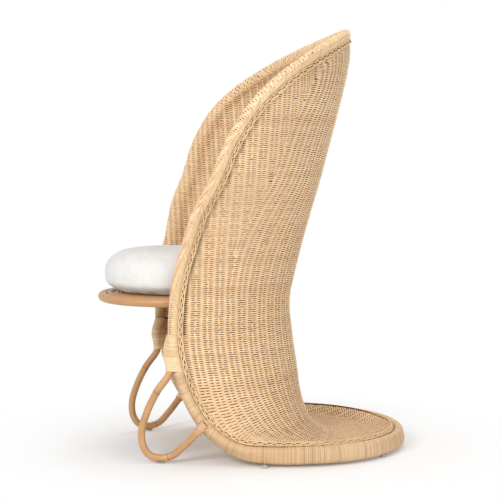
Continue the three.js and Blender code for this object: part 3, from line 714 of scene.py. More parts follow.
def crossings(row, roll):
    """Runs along half a row, the stakes there, and 1 where the strand passes them in front, else -1."""
    length = half_lengths[row]
    fine = np.linspace(0, full_length(row, roll), FINE_SAMPLES)
    pairs, added = pair_count(row, np.minimum(fine, length))
    stakes = stake_phase(pairs + np.maximum(fine - length, 0) / PAIR_SPACING)
    least = np.diff(fine, prepend=0) / LONGEST_STEP / STEPS_PER_STAKE
    turned = np.cumsum(np.maximum(np.abs(np.diff(stakes, prepend=stakes[0])), least))
    steps = np.append(np.arange(1 / (2 * STEPS_PER_STAKE), turned[-1], 1 / STEPS_PER_STAKE), turned[-1])
    run = np.interp(steps, turned, fine)
    stakes = np.interp(run, fine, stakes)
    added = np.round(np.interp(run, fine, added))
    return run, stakes, 1 - 2 * ((row + np.round(stakes / 2) - added) % 2)


def strand(bundle, row):
    """One flat strand across the whole back."""
    roll = rolls_over(row)
    run, stakes, front = crossings(row, roll)
    points, ways, spacing = half_row(row, run, roll)
    from_middle = np.abs(stakes - 2 * np.round(stakes / 2))
    swing = front * np.interp(from_middle, [0, 0.5, 1], [PAIR_MIDDLE, 1, 0])
    calm = np.clip((half_lengths[row] - run) / CALM_RUN, LEAST_SWING, 1)
    points = np.vstack([points[::-1] * MIRROR, points])
    ways = np.vstack([ways[::-1] * MIRROR, ways])
    spacing, swing, calm, ripple = (
        np.concatenate([value[::-1], value]) for value in (spacing, swing, calm, np.cos(math.pi * stakes))
    )
    depth = (SWING * rng.uniform(*SWING_SPREAD) * swing + CORRUGATION * ripple) * calm
    middle = points + ways * depth[:, None]
    middle += ways * rng.normal(0, JITTER, len(middle))[:, None]
    side = unit(np.cross(ways, np.gradient(points, axis=0)))
    width = np.maximum(STRAND_FILL * spacing, spacing - SLIT_HALF)[:, None]
    outer, inner = middle + ways * STRAND_THICKNESS, middle - ways * STRAND_THICKNESS
    corners = (outer - side * width, outer + side * width, inner + side * width, inner - side * width)
    # Painted shade: a corner gets a low crest, so a darker colour, where it lies back from its side of the
    # weave, as where a strand dips behind a pair.
    crest = 0.5 + 0.5 * np.stack([swing, swing, -swing, -swing], axis=1)
    bundle.tube(np.stack(corners, axis=1), tone=rng.uniform(), crest=crest)


# %% [markdown]
# Nearly six hundred strands make a heavy mesh, and one piece of that size is slow to work with. So the weave
# is cut between rows into six pieces with about the same length of strand in each.

# %% Weave
weave_parts = ("crown", "shoulders", "back", "waist", "heel", "tail")
woven_share = np.cumsum(half_lengths / half_lengths.sum())
part_of_row = np.searchsorted(np.linspace(0, 1, len(weave_parts) + 1)[1:-1], woven_share)
for part, title in enumerate(weave_parts):
    bundle = Bundle()
    for row in np.flatnonzero(part_of_row == part):
        strand(bundle, row)
    bundle.build(f"weave_{title}", "weave", "woven_shell", material=weave_finish)

# %% [markdown]
# Where a strand dips behind a stake, the weave shows its shaded inside. A thin dark layer halfway through
# the thickness is painted shade for that inside, because light is lost between real strands that fray and
# press together.

# %% Shaded inside of the weave
LAYER_HALF = 0.0002
LAYER_INSET = 0.004
LAYER_SAMPLES = 97
LAYER_EVENNESS = 0.78
LAYER_ROW_STEP = 5
bundle = Bundle()
layer_rings = []
for row in np.arange(2, row_count - 2, LAYER_ROW_STEP):
    roll = rolls_over(row)
    run = (full_length(row, roll) - LAYER_INSET) * np.linspace(0, 1, LAYER_SAMPLES) ** LAYER_EVENNESS
    points, ways, _ = half_row(row, run, roll)
    points = np.vstack([points[:0:-1] * MIRROR, points])
    ways = np.vstack([ways[:0:-1] * MIRROR, ways])
    layer_rings.append(np.vstack([points + ways * LAYER_HALF, (points - ways * LAYER_HALF)[::-1]]))
# Crest 0 gives the whole layer the deep colour of the weave_shade finish: painted shade.
bundle.tube(np.array(layer_rings), tone=0.5, crest=0.0)
bundle.build("weave_inside", "weave", "woven_shell", material=inside_shade_finish)

# %% [markdown]
# ## Peel round the rim
# The rim pole itself is hardly seen. On the hood the rows' ends come over it, and round the heel and tail
# peel is wound over it and a second pole. Both coverings are made the same way: a section is swept along
# the rim, with a shallow rib between one strand and the next. A slant lets the strands run on along the rim
# as they turn, as they do on the real chair.

# %% Winding
RIB_PLACES = np.array([0, 0.1, 0.35, 0.65, 0.9])
RIB_DEPTHS = np.array([1, 0.25, 0, 0, 0.25])
WINDING_STEP = 0.004
LINE_SAMPLES = 4000
MOST_STRANDS = 1000


def even_turns(line, start, end, step):
    """Turns of a line at even lengths from start to end, and the length between them."""
    turns = np.linspace(start, end, LINE_SAMPLES)
    run = lengths(line(turns))
    count = max(int(round(run[-1] / step)), 2)
    return np.interp(np.linspace(0, run[-1], count + 1), run, turns), run[-1]


def wound(bundle, start, end, pitch, section, slant=0.0):
    """Sweeps a section along the rim. The section gets each rib's depth, strand and way from the middle."""
    turns, length = even_turns(rim_line, start, end, WINDING_STEP)
    at_turn = np.linspace(0, length, len(turns))
    strands = np.arange(int((length + slant) / pitch))
    run = ((strands[:, None] + RIB_PLACES) * pitch).ravel() - slant
    rib = np.tile(RIB_DEPTHS, len(strands))[:, None]
    own = np.repeat(strands, len(RIB_PLACES))
    points, crest, lag = section(rib, own, np.abs(run[:, None] - length / 2))
    where = np.interp(np.clip(run[:, None] + slant * lag, 0, length), at_turn, turns)
    centre, out, away = (value.reshape(*where.shape, 3) for value in rim_frame(where.ravel()))
    bundle.tube(centre + out * points[..., :1] + away * points[..., 1:],
                tone=rng.uniform(size=len(strands))[own][:, None], crest=crest)


# %% [markdown]
# On the hood the ends of the rows bend down over the rim and lie side by side on its outer face. Where they
# bend, some stand apart and leave slits. At the very middle of the crown, where no row comes over, they
# reach further round. The section is given in degrees round the pole, and its radius shrinks to a hidden
# core where the weave covers it already.

# %% Winding of the hood
HOOD_DEGREES = np.array([-55, -10, 30, 48, 58, 66, 74, 82, 90, 98, 108, 120, 134, 148, 162, 178, 205, 235,
                         270.0])
HOOD_PITCH = 0.0058
HOOD_SLANT = 0.05
HOOD_SLIT_SHARE = 0.75
HOOD_CORE = 0.0118
HOOD_STRAND_RISE = 0.0018
HOOD_RIB = 0.0006
HOOD_SLIT = 0.0018
BARE_HALF = 0.018
BARE_FIRST_DEGREES = -34
FIRST_DEGREES = 48
FADE_DEGREES = 16
LAST_DEGREES = (160, 185)
SLIT_DEGREES = (58, 66, 84, 104)
LAG_DEGREES = (30, 90, 175, 270)
slit = (rng.uniform(size=MOST_STRANDS) < HOOD_SLIT_SHARE) * rng.uniform(0.4, 1, size=MOST_STRANDS)


def hood_section(rib, own, from_middle):
    """Round the rim pole, from the weave's edge over the outer face to the underside."""
    angle = np.radians(HOOD_DEGREES)
    first = np.where(from_middle < BARE_HALF, BARE_FIRST_DEGREES, FIRST_DEGREES)
    shown = np.clip((HOOD_DEGREES - first) / FADE_DEGREES, 0, 1)
    shown = shown * np.interp(HOOD_DEGREES, LAST_DEGREES, [1, 0])
    open_slits = slit[own][:, None] * np.interp(HOOD_DEGREES, SLIT_DEGREES, [0, 1, 1, 0])
    radius = HOOD_CORE + shown * (HOOD_STRAND_RISE - rib * (HOOD_RIB + HOOD_SLIT * open_slits))
    points = np.stack([radius * np.sin(angle), radius * np.cos(angle)], axis=-1)
    # Painted shade: ribs and open slits get a lower crest, and so do the strands where they go under the
    # weave and on the underside.
    crest = np.clip(1 - rib * (0.5 + 1.0 * open_slits), 0, 1)
    crest = crest * np.clip(shown + np.interp(HOOD_DEGREES, LAST_DEGREES, [0.1, 0.5]), 0, 1)
    return points, crest, np.interp(HOOD_DEGREES, LAG_DEGREES, [0, 0.25, 1, 0])


bundle = Bundle()
wound(bundle, -collar_turn, collar_turn, HOOD_PITCH, hood_section, HOOD_SLANT)
bundle.build("hood_winding", "binding", "hood_binding", material=binding_finish)

# %% [markdown]
# Round the heel and tail the peel is wound turn against turn round two poles, one under the other, which
# makes a tall band. Some of its turns stand open. A share of them, drawn at random, gets a deeper gap.
# Painted shade darkens the groove between each turn and the next, and the deeper gaps more.

# %% Winding of the band
BAND_PITCH = 0.0052
BAND_GAP_SHARE = 0.35
BAND_RISE = 0.0003
BAND_RIB = 0.0007
BAND_GAP = 0.0008
RIB_PAINTED_SHADE = 0.7
GAP_PAINTED_SHADE = 2.4
band_gap = (rng.uniform(size=MOST_STRANDS) < BAND_GAP_SHARE) * rng.uniform(0.3, 1, size=MOST_STRANDS)


def band_section(rib, own, from_middle):
    """Round the rim pole and the pole under it: two half rounds with a flat between."""
    angle = np.radians(np.linspace(-90, 90, 10))
    way = np.stack([np.cos(angle), np.sin(angle)], axis=-1)
    ring = np.vstack([way * BINDING_RADIUS, -way * BINDING_RADIUS - [POLE_SPACING, 0]])
    gap = rib * band_gap[own][:, None]
    points = ring + np.vstack([way, -way]) * (BAND_RISE - BAND_RIB * rib - BAND_GAP * gap)[..., None]
    # Painted shade in the grooves between turns, darkest in the open gaps.
    crest = np.clip(1 - RIB_PAINTED_SHADE * rib - GAP_PAINTED_SHADE * gap, 0, 1) + 0 * points[..., 0]
    return points, crest, np.zeros(len(ring))


bundle = Bundle()
wound(bundle, crotch_turn, 1 - crotch_turn, BAND_PITCH, band_section)
bundle.build("base_band", "binding", "base_binding", material=band_finish)

# %% [markdown]
# ## The braid
# A flat plait covers the ends of the rows. Five strands, each of two rods of core side by side, pass over
# each other in long slow slants. It is nailed down on the outer face beside the winding, all the way round,
# and along the tail it leans on the weave's lip. The gaps between the strands look dark, so a thin dark
# strip of painted shade lies under them, and the rods are painted lighter where they rise and on their
# outer side.

# %% Line of the braid
BRAID_STEP = 0.0042
BRAID_AWAY = -0.0187
BRAID_OUT = 0.0068
BRAID_LEAN = math.radians(40)
LIP_AWAY = 0.0045
LIP_OUT = 0.0098
turns, length = even_turns(rim_line, 0, 1, BRAID_STEP)
turns = turns[:-1]
centre, out, away = rim_frame(turns)
share = lip_share(turns)[:, None]
braid_line = centre + away * (BRAID_AWAY + LIP_AWAY * share) + out * (BRAID_OUT + LIP_OUT * share)
lean = BRAID_LEAN * share
wide = away * np.cos(lean) - out * np.sin(lean)
face = out * np.cos(lean) + away * np.sin(lean)
run = np.arange(len(turns)) / len(turns) * length
print(f"the braid is {length:.2f} m long")

# %% [markdown]
# Seen from the front a strand of a flat plait swings from edge to edge, and it comes up twice on the way:
# once going and once coming back. Its rods are round tubes that follow that path.

# %% Braid
BRAID_STRANDS = 5
BRAID_PERIOD = 0.13
BRAID_ROD = 0.0008
ROD_SPACING = 0.95
ROD_SIDES = 6
BRAID_SWING = 0.0056
BRAID_RISE = 0.0012
BRAID_PAINTED_LIGHT = (0.28, 0.32, 0.42)
STRIP_DEPTH = 0.0018
STRIP_HALF = 0.0004


def arms(count):
    """Cosines and sines of even steps round a circle."""
    angle = 2 * math.pi * np.arange(count) / count
    return np.cos(angle), np.sin(angle)


bundle = Bundle()
periods = round(length / BRAID_PERIOD)
cosines, sines = arms(ROD_SIDES)
light, light_above, light_outside = BRAID_PAINTED_LIGHT
for number in range(BRAID_STRANDS):
    phase = 2 * math.pi * (periods * run / length + number / BRAID_STRANDS)
    rise = BRAID_RISE * np.sin(2 * phase)
    for rod in (-1, 1):
        aside = BRAID_SWING * np.sin(phase) + rod * ROD_SPACING * BRAID_ROD
        middle = braid_line + wide * aside[:, None] + face * rise[:, None]
        ring = wide[:, None] * cosines[:, None] + face[:, None] * sines[:, None]
        # Painted light: a rod is lighter where it rises and on its outer side, darker low and underneath.
        crest = light + light_above * (rise / BRAID_RISE)[:, None] + light_outside * sines[None, :]
        bundle.tube(middle[:, None] + ring * BRAID_ROD, closed=True, tone=rng.uniform(),
                    crest=np.clip(crest, 0, 1), along=run[:, None])
# A thin dark strip of painted shade under the gaps between the strands.
middle = braid_line - face * STRIP_DEPTH
corners = np.array([(1, 1), (-1, 1), (-1, -1), (1, -1)])
strip_wide = wide[:, None] * corners[:, :1] * BRAID_SWING
strip_high = face[:, None] * corners[:, 1:] * STRIP_HALF
bundle.tube(middle[:, None] + strip_wide + strip_high, closed=True, tone=0.2, crest=0.0, along=run[:, None])
bundle.build("edge_braid", "braid", "rim_braid", material=braid_finish)

# %% [markdown]
# ## Legs and collars
# Each leg is one more bent pole. It hangs from the seat ring, runs down inside the rim, leaves it at the
# crotch, loops forward to the floor and comes back to the band. Its line is set out like the rim's: points
# beside the rim, then shares of the loop down to the foot, and shares of the way back to the rim.

# %% Leg line
LEG_TOP_BACK = 0.003
LEG_TOP_DROP = 0.006
LEG_BESIDE = ((1.2, 0.1), (0.8, 0.85), (0.4, 1.1))
LEG_FRONT = ((1, 0.871, 0.77), (1, 0.956, 0.53), (1, 1, 0.308), (1, 0.987, 0.133), (1.005, 0.937, 0.033),
             (1.023, 0.855, 0))
LEG_REAR = ((0.213, 0.268, 0.071), (0.56, 0.539, 0.391), (0.963, 0.791, 0.768), (1.367, 1.019, 1.111))
BESIDE = RIM_POLE_RADIUS + GAP + LEG_POLE_RADIUS
LEG_FLOOR = LEG_GLIDE_HEIGHT + GAP + LEG_POLE_RADIUS
seat_y = SEAT_CENTRE_Y + Y_SHIFT


def rim_at(height):
    """The rim's point at a height, on the near side."""
    return rim_line(turn_at(height))[0]


ring_rim = rim_at(SEAT_HEIGHT)
ring_reach = math.hypot(ring_rim[0], ring_rim[1] - SEAT_CENTRE_Y - Y_SHIFT)
RING_RADIUS = ring_reach - BINDING_RADIUS - GAP - SEAT_POLE_RADIUS
leg_points = [[RING_RADIUS, seat_y - LEG_TOP_BACK, SEAT_HEIGHT - LEG_TOP_DROP]]
beside_heights = (COLLAR_TOP, (COLLAR_TOP + CROTCH_HEIGHT) / 2, CROTCH_HEIGHT)
for height, (inward, forward) in zip(beside_heights, LEG_BESIDE):
    rim = rim_at(height)
    leg_points.append([rim[0] - inward * BESIDE, rim[1] - forward * BESIDE, height])
for sideward, forward, rise in LEG_FRONT:
    leg_points.append([sideward * FOOT_HALF_WIDTH, Y_SHIFT - forward * FOOT_FORWARD,
                       LEG_FLOOR + rise * (CROTCH_HEIGHT - LEG_FLOOR)])
foot = np.array(leg_points[-1])
to_rim = rim_at(JUNCTION_HEIGHT) - foot
leg_points += [foot + to_rim * np.array(shares) for shares in LEG_REAR]
leg_line = smooth_line(leg_points)
leg_length = even_turns(leg_line, 0, 1, 0.01)[1]
print(f"each leg is {leg_length:.3f} m of pole through {len(leg_points)} points")

# %% [markdown]
# A rattan pole isn't a plain tube. Every few hand's breadths it has a knot, where a leaf once sat: the pole
# swells a little and a thin dark scar runs round it. Every pole is a tube along its line with those knots
# in it, and its cut ends are a little rounded.

# %% Poles
POLE_STEP = 0.003
END_TURNS = 1e-3
KNOT_RISE = 0.0005
KNOT_HALF = 0.006
SCAR_DEPTH = 0.0004
SCAR_OFF = 0.002
SCAR_HALF = 0.0016
SCAR_DARK = 0.75
POLE_CREST = 0.9
STAIN_HALF = 0.012
STAIN_DARK = 0.3
ROUNDED_END = 0.002
END_SHARE = 0.9
POLE_TONES = (0.3, 0.7)
ACROSS = (1.0, 0, 0)


def pole_rings(line, turns, radius, sides, first=ACROSS):
    """Rings of points round a line. Each starts from the same side, so that the pole isn't twisted."""
    middle = line(turns)
    along = heading(line, np.clip(turns, END_TURNS, 1 - END_TURNS))
    first = unit(np.asarray(first) - along * (along @ np.asarray(first))[:, None])
    second = np.cross(along, first)
    cosines, sines = arms(sides)
    radius = np.broadcast_to(radius, len(middle))[:, None, None]
    return middle[:, None] + (first[:, None] * cosines[:, None] + second[:, None] * sines[:, None]) * radius


def bell(run, middle, half):
    """A soft peak of 1 round one place of a run."""
    return np.exp(-((run - middle) / half) ** 2)


def pole(name, node, line, radius, knots, first=ACROSS, end=1, mirror=np.ones(3), closed=False, sides=24):
    """A round pole in place of a CAD node, with a slight swelling and a dark scar at each knot."""
    turns, length = even_turns(line, 0, end, POLE_STEP)
    if closed:
        turns = turns[:-1]
    run = np.linspace(0, length, len(turns), endpoint=not closed)
    swell = np.zeros(len(run))
    scar = np.zeros(len(run))
    for knot in knots:
        swell += bell(run, knot, KNOT_HALF)
        scar += bell(run - knot, SCAR_OFF, SCAR_HALF) + STAIN_DARK * bell(run, knot, STAIN_HALF)
    scar = np.clip(scar, 0, 1)
    if not closed:
        ends = np.clip(np.minimum(run, length - run) / ROUNDED_END, 0, 1)
        radius = radius * (END_SHARE + (1 - END_SHARE) * np.sqrt(1 - (1 - ends) ** 2))
    rings = pole_rings(line, turns, radius + KNOT_RISE * swell - SCAR_DEPTH * scar, sides, first)
    crest = np.clip(POLE_CREST - SCAR_DARK * scar, 0, 1)[:, None]
    bundle = Bundle()
    bundle.tube(rings * mirror, closed=closed, tone=rng.uniform(*POLE_TONES), crest=crest)
    bundle.build(name, "pole", node, material=pole_finish)


# %% [markdown]
# The legs are made on the right and mirrored to the left. Where a leg's rear end meets the rim, a short
# winding of peel hides the cut. Its turns are rounded, with a groove between each and the next, and painted
# shade darkens each groove.

# %% Legs
SIDES = (("right", np.ones(3)), ("left", MIRROR))
LEG_KNOTS = (0.245, 0.475)
LEG_END_SHARE = 0.35
WRAP_STEP = 0.0006
WRAP_PITCH = 0.0042
WRAP_RISE = 0.0026
WRAP_RIB = 0.0006
WRAP_PAINTED_SHADE = 0.8
MOST_TURNS = 99
leg_end = 1 - LEG_END_SHARE * LEG_BURIED / leg_length
wrap_start = 1 - (LEG_WRAP_LENGTH + LEG_BURIED) / leg_length


def groove(phase):
    """How deep a wound strand's edge is, at turns of the peel: 1 between two turns and 0 on the crest."""
    return np.abs(2 * (phase % 1) - 1) ** 3


def turn_tones(phase):
    """A tone of its own for each turn of the peel."""
    return rng.uniform(size=MOST_TURNS)[phase.astype(int)][:, None]


for side, mirror in SIDES:
    pole(f"{side}_leg_pole", f"{side}_leg", leg_line, LEG_POLE_RADIUS, LEG_KNOTS, end=leg_end, mirror=mirror)
    turns, length = even_turns(leg_line, wrap_start, leg_end, WRAP_STEP)
    phase = np.linspace(0, length, len(turns)) / WRAP_PITCH
    rib = groove(phase)
    rings = pole_rings(leg_line, turns, LEG_POLE_RADIUS + WRAP_RISE - WRAP_RIB * rib, 24)
    bundle = Bundle()
    # Painted shade in the grooves between turns.
    bundle.tube(rings * mirror, tone=turn_tones(phase), crest=(1 - WRAP_PAINTED_SHADE * rib)[:, None])
    bundle.build(f"{side}_leg_winding", "binding", f"{side}_leg_wrap", material=wrap_finish)

# %% [markdown]
# Above the crotch a collar of peel ties each leg to the rim. Peel pulled tight round two poles runs straight
# from one to the other, so the section is two half rounds with flats between. It is worked out level by
# level, a few for each turn of the peel. Painted shade darkens the groove between one turn and the next.

# %% Collars
COLLAR_PITCH = 0.0052
LEVELS_PER_TURN = 6
COLLAR_RISE = 0.0004
COLLAR_RIB = 0.0009
COLLAR_PAINTED_SHADE = 0.85
half_round = np.radians(np.linspace(-90, 90, 13))
heights = np.arange(COLLAR_TOP, CROTCH_HEIGHT, -COLLAR_PITCH / LEVELS_PER_TURN)
phase = (COLLAR_TOP - heights) / COLLAR_PITCH
upright_end = 3 / (len(leg_points) - 1)
collar = []
for height, rib in zip(heights, groove(phase)):
    rim = rim_at(height)
    leg = leg_line(last_before(0.0, upright_end, lambda turn: leg_line(turn)[0, 2] > height))[0]
    way = leg - rim
    way[2] = 0
    way /= np.linalg.norm(way)
    square = np.array([way[1], -way[0], 0])
    radius = BINDING_RADIUS + COLLAR_RISE - COLLAR_RIB * rib
    collar.append([
        pole_middle + radius * (way * math.cos(a + start) - square * math.sin(a + start))
        for pole_middle, start in ((leg, 0), (rim, math.pi)) for a in half_round
    ])
for side, mirror in SIDES:
    bundle = Bundle()
    # Painted shade in the grooves between turns.
    bundle.tube(np.array(collar) * mirror, tone=turn_tones(phase),
                crest=(1 - COLLAR_PAINTED_SHADE * groove(phase))[:, None])
    bundle.build(f"{side}_collar_winding", "binding", f"{side}_leg_collar", material=binding_finish)

# %% [markdown]
# ## The seat's deck
# The cushion rests on a ring bent from a thick pole, with a thinner ring inside and a spiral of rod that
# fills it. Two bars carry the spiral, and one more ties the ring to the back. All of them are poles with
# knots, so only their lines are new.

# %% Rings and coil
RING_KNOTS = (0.06, 0.36, 0.72)
INNER_RING_KNOTS = (0.3, 0.7, 1.0)
COIL_KNOTS = np.arange(0.4, 7.5, 0.47)


def box_middle(node):
    """The middle and the size of a CAD node's box."""
    low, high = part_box(node)
    return (np.array(low) + np.array(high)) / 2, np.array(high) - np.array(low)


def seat_line(outer, inner, height, loops=1):
    """A level line round the seat's middle, from an outer radius to an inner one."""
    def at(turns):
        turns = np.atleast_1d(turns)
        angle = 2 * math.pi * loops * turns
        radius = outer - (outer - inner) * turns
        return np.column_stack([radius * np.cos(angle), seat_y + radius * np.sin(angle), height + 0 * angle])
    return at


inner_radius = RING_RADIUS - SEAT_POLE_RADIUS - GAP - INNER_RING_RADIUS
inner_height = box_middle("inner_seat_ring")[0][2]
coil_outer = inner_radius - INNER_RING_RADIUS - GAP - COIL_ROD_RADIUS
coil_height = SEAT_HEIGHT + SEAT_POLE_RADIUS - COIL_ROD_RADIUS
ring_line = seat_line(RING_RADIUS, RING_RADIUS, SEAT_HEIGHT)
inner_line = seat_line(inner_radius, inner_radius, inner_height)
coil_line = seat_line(coil_outer, COIL_CORE_RADIUS, coil_height, COIL_LOOPS)

pole("seat_ring_pole", "seat_ring", ring_line, SEAT_POLE_RADIUS, RING_KNOTS, UP, closed=True)
pole("inner_ring_pole", "inner_seat_ring", inner_line, INNER_RING_RADIUS, INNER_RING_KNOTS, UP, closed=True,
     sides=16)
pole("seat_spiral", "seat_coil", coil_line, COIL_ROD_RADIUS, COIL_KNOTS, UP, sides=12)

# %% [markdown]
# The bars are straight poles from side to side. The one at the back ends a little inside the weave, so that
# its cut ends don't show through.

# %% Bars
BAR_SHORT = 0.006
BAR_KNOT_SHARES = (0.3, 0.78)
for node, title in (("front_cross_bar", "front_deck_bar"), ("rear_cross_bar", "rear_deck_bar"),
                    ("seat_back_bar", "back_deck_bar")):
    middle, size = box_middle(node)
    half_length = size[0] / 2 - (BAR_SHORT if node == "seat_back_bar" else 0)
    ends = np.array([middle - [half_length, 0, 0], middle + [half_length, 0, 0]])
    pole(title, node, lambda turns: ends[0] + (ends[1] - ends[0]) * np.atleast_1d(turns)[:, None],
         size[2] / 2, [share * size[0] for share in BAR_KNOT_SHARES], UP, sides=20)

# %% [markdown]
# ## Glides
# Small plastic glides keep the poles off the floor. Each is a turned foot with rounded edges and a nail in
# its middle. A turned shape is a profile of radius and height, carried round in rings.

# %% Glides
FOOT_PROFILE = ((0.0085, 0), (0.0097, 0.0008), (GLIDE_RADIUS, 0.002))
TOP_PROFILE = ((GLIDE_RADIUS, -0.0015), (0.0094, -0.0004), (0.0085, 0), (0.003, 0), (0.0012, 0.0005),
               (0.0012, 0.013))
SPECK_PLACES = (0.3, 0.7)


def speckled(name, roughness, scale, detail, dark, light, specular=0.4):
    """A plain finish with fine specks between two colours."""
    material, nodes, links, shader = new_material(name, roughness, specular)
    specks = noise(nodes, links, object_place(nodes), scale, detail)
    links.new(ramp(nodes, links, specks, *zip(SPECK_PLACES, (dark, light))), shader.inputs["Base Color"])
    return material, nodes, links, shader, specks


plastic, nodes, links, shader, specks = speckled(
    "grey_plastic", 0.42, 400.0, 2.0, linear(150, 152, 146), linear(184, 186, 180), specular=0.5)
links.new(bumped(nodes, links, specks, 0.15, 0.0003), shader.inputs["Normal"])
cosines, sines = arms(32)
glide_places = (("leg", LEG_GLIDE_HEIGHT), ("side", BAND_GLIDE_HEIGHT), ("rear", BAND_GLIDE_HEIGHT))
for side, _ in SIDES:
    for place, height in glide_places:
        node = f"{side}_{place}_glide"
        (x, y, _), _ = box_middle(node)
        profile = [*FOOT_PROFILE, *((radius, height + rise) for radius, rise in TOP_PROFILE)]
        bundle = Bundle()
        bundle.tube([np.column_stack([x + radius * cosines, y + radius * sines, z + 0 * sines])
                     for radius, z in profile])
        bundle.build(f"{node}_foot", "glide", node, material=plastic)

# %% [markdown]
# ## The cushion
# A round loose cushion in natural cotton, filled until it stands proud of the ring. It starts as a turned
# shape from a profile, flat below and slightly crowned above, a little slimmer than it ends.

# %% Cushion
CUSHION_SHARES = ((0, 0), (0.45, 0), (0.7, 0.02), (0.85, 0.085), (0.94, 0.165), (0.985, 0.25), (1, 0.38),
                  (0.998, 0.54), (0.965, 0.71), (0.885, 0.85), (0.7, 0.955), (0.4, 1.01), (0, 1.03))
PROFILE_TURNS = np.linspace(0.02, 0.98, 44)
CUSHION_SIDES = 96
cushion_low = np.array(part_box("cushion")[0])
cushion_radius = RING_RADIUS - CUSHION_INSET
profile = smooth_line([(share, 0, rise) for share, rise in CUSHION_SHARES])(PROFILE_TURNS)
cosines, sines = arms(CUSHION_SIDES)
shape = Bundle()
shape.tube([np.column_stack([share * cushion_radius * cosines, seat_y + share * cushion_radius * sines,
                             cushion_low[2] + rise * CUSHION_THICKNESS + 0 * cosines])
            for share, _, rise in profile])
cushion = shape.build("round_cushion", "cloth", "cushion")
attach(cushion, "cushion")

# %% [markdown]
# A filled cushion isn't quite as round as a turned one. A short cloth simulation with air pressure inside
# makes the sides bulge and the cloth settle. The air would blow it up further than the real cushion, so
# only the first few millimetres of each point's way are kept. The underside stays flat on the deck.

# %% Fill the cushion
MOST_FILLED = 0.003
VOXEL = 0.005
AIR_PRESSURE = 4
AIR_FRAMES = 20


def mesh_points(mesh):
    """The points of a mesh, one row for each."""
    flat = np.zeros(len(mesh.vertices) * 3, np.float32)
    mesh.vertices.foreach_get("co", flat)
    return flat.reshape(-1, 3)


def apply_to_cushion(modifier):
    bpy.context.view_layer.objects.active = cushion
    bpy.ops.object.modifier_apply(modifier=modifier.name)


remesh = cushion.modifiers.new("even faces", "REMESH")
remesh.mode = "VOXEL"
remesh.voxel_size = VOXEL
apply_to_cushion(remesh)
start = mesh_points(cushion.data)
air = cushion.modifiers.new("air", "CLOTH")
air.settings.use_pressure = True
air.settings.uniform_pressure_force = AIR_PRESSURE
air.settings.effector_weights.gravity = 0
for number in range(1, AIR_FRAMES + 1):
    bpy.context.scene.frame_set(number)
filled = cushion.evaluated_get(bpy.context.evaluated_depsgraph_get())
way = mesh_points(filled.data) - start
cushion.modifiers.remove(air)
bpy.context.scene.frame_set(1)
far = np.linalg.norm(way, axis=1, keepdims=True)
way *= np.minimum(1, MOST_FILLED / np.maximum(far, TINY))
start += way
start[:, 2] = np.maximum(start[:, 2], cushion_low[2])
cushion.data.vertices.foreach_set("co", start.ravel())
cushion.data.update()
print(f"the cloth moved up to {far.max() * 1000:.1f} mm")
soft = cushion.modifiers.new("soft faces", "SUBSURF")
soft.levels = soft.render_levels = 1
apply_to_cushion(soft)
cushion.data.polygons.foreach_set("use_smooth", np.ones(len(cushion.data.polygons), bool))
print("cushion", [round(v * 1000) for v in cushion.dimensions], "mm")

# %% [markdown]
# The cover is sewn from two round pieces. Their seam shows as a low cord close to the bottom edge. The cord
# follows the filled cushion: its radius is measured on the mesh all the way round, then smoothed, and a
# small wave lifts and lowers it as on sewn work.

# %% Seam
SEAM_RISE = 0.235
SEAM_RADIUS = 0.0011
SEAM_SEARCH = 0.006
SEAM_POINTS = 180
SEAM_SMOOTHING = 25
SEAM_WAVES = ((0.0006, 5, 0), (0.0004, 11, 1))
points = mesh_points(cushion.data)
seam_height = cushion_low[2] + SEAM_RISE * CUSHION_THICKNESS
level = points[np.abs(points[:, 2] - seam_height) < SEAM_SEARCH]
angle = np.arctan2(level[:, 1] - seat_y, level[:, 0])
order = np.argsort(angle)
distance = np.hypot(level[:, 0], level[:, 1] - seat_y)[order]
smoothed = np.convolve(np.tile(distance, 3), np.ones(SEAM_SMOOTHING) / SEAM_SMOOTHING, "same")
smoothed = smoothed[len(order):2 * len(order)]
around = np.linspace(-math.pi, math.pi, SEAM_POINTS + 1)[:-1]
seam_radius = np.interp(around, angle[order], smoothed, period=2 * math.pi)
for wave_rise, waves, offset in SEAM_WAVES:
    seam_height = seam_height + wave_rise * np.sin(waves * around + offset)
middle = np.column_stack([seam_radius * np.cos(around), seat_y + seam_radius * np.sin(around), seam_height])
spoke = unit(middle - [0, seat_y, 0] - np.outer(seam_height, UP))
cosines, sines = arms(8)
bundle = Bundle()
ring = spoke[:, None] * cosines[:, None] + UP * sines[:, None]
bundle.tube(middle[:, None] + ring * SEAM_RADIUS, closed=True)
seam = bundle.build("cushion_seam", "cloth")
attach(seam, "cushion")
print(f"the seam lies {seam_radius.mean():.3f} m from the middle")

# %% [markdown]
# The cloth is a plain cotton, off white and without a pattern. Its fine threads run over and under, with
# thicker spots here and there, and slow folds where the filling pushes. Three waves of bands in the colour
# and the bump stand for the threads, since each thread by itself is too thin to be a mesh.

# %% Cotton
THREAD = {"Scale": 260.0, "Distortion": 1.2, "Detail": 1.0}
THREAD_SHARE = 0.12
SLUB_SHARE = 0.6
COTTON_PLACES = (0.2, 0.75)
cotton, nodes, links, shader = new_material("natural_cotton", 0.92, 0.15, sheen=0.15)
shader.inputs["Sheen Roughness"].default_value = 0.5
where = object_place(nodes)
threads = []
for axis in ("X", "Y", "Z"):
    wave = add_node(nodes, "ShaderNodeTexWave", THREAD, bands_direction=axis)
    links.new(where, wave.inputs["Vector"])
    threads.append(wave.outputs[0])
crossed = sum_of(nodes, links, threads[2], 1.0, sum_of(nodes, links, threads[0], 1.0, threads[1]))
slub = noise(nodes, links, where, 55.0, 4.0, 0.6)
cloth_shade = sum_of(nodes, links, crossed, THREAD_SHARE, sum_of(nodes, links, slub, SLUB_SHARE, 0.0))
cotton_colours = zip(COTTON_PLACES, (linear(214, 212, 208), linear(228, 227, 224)))
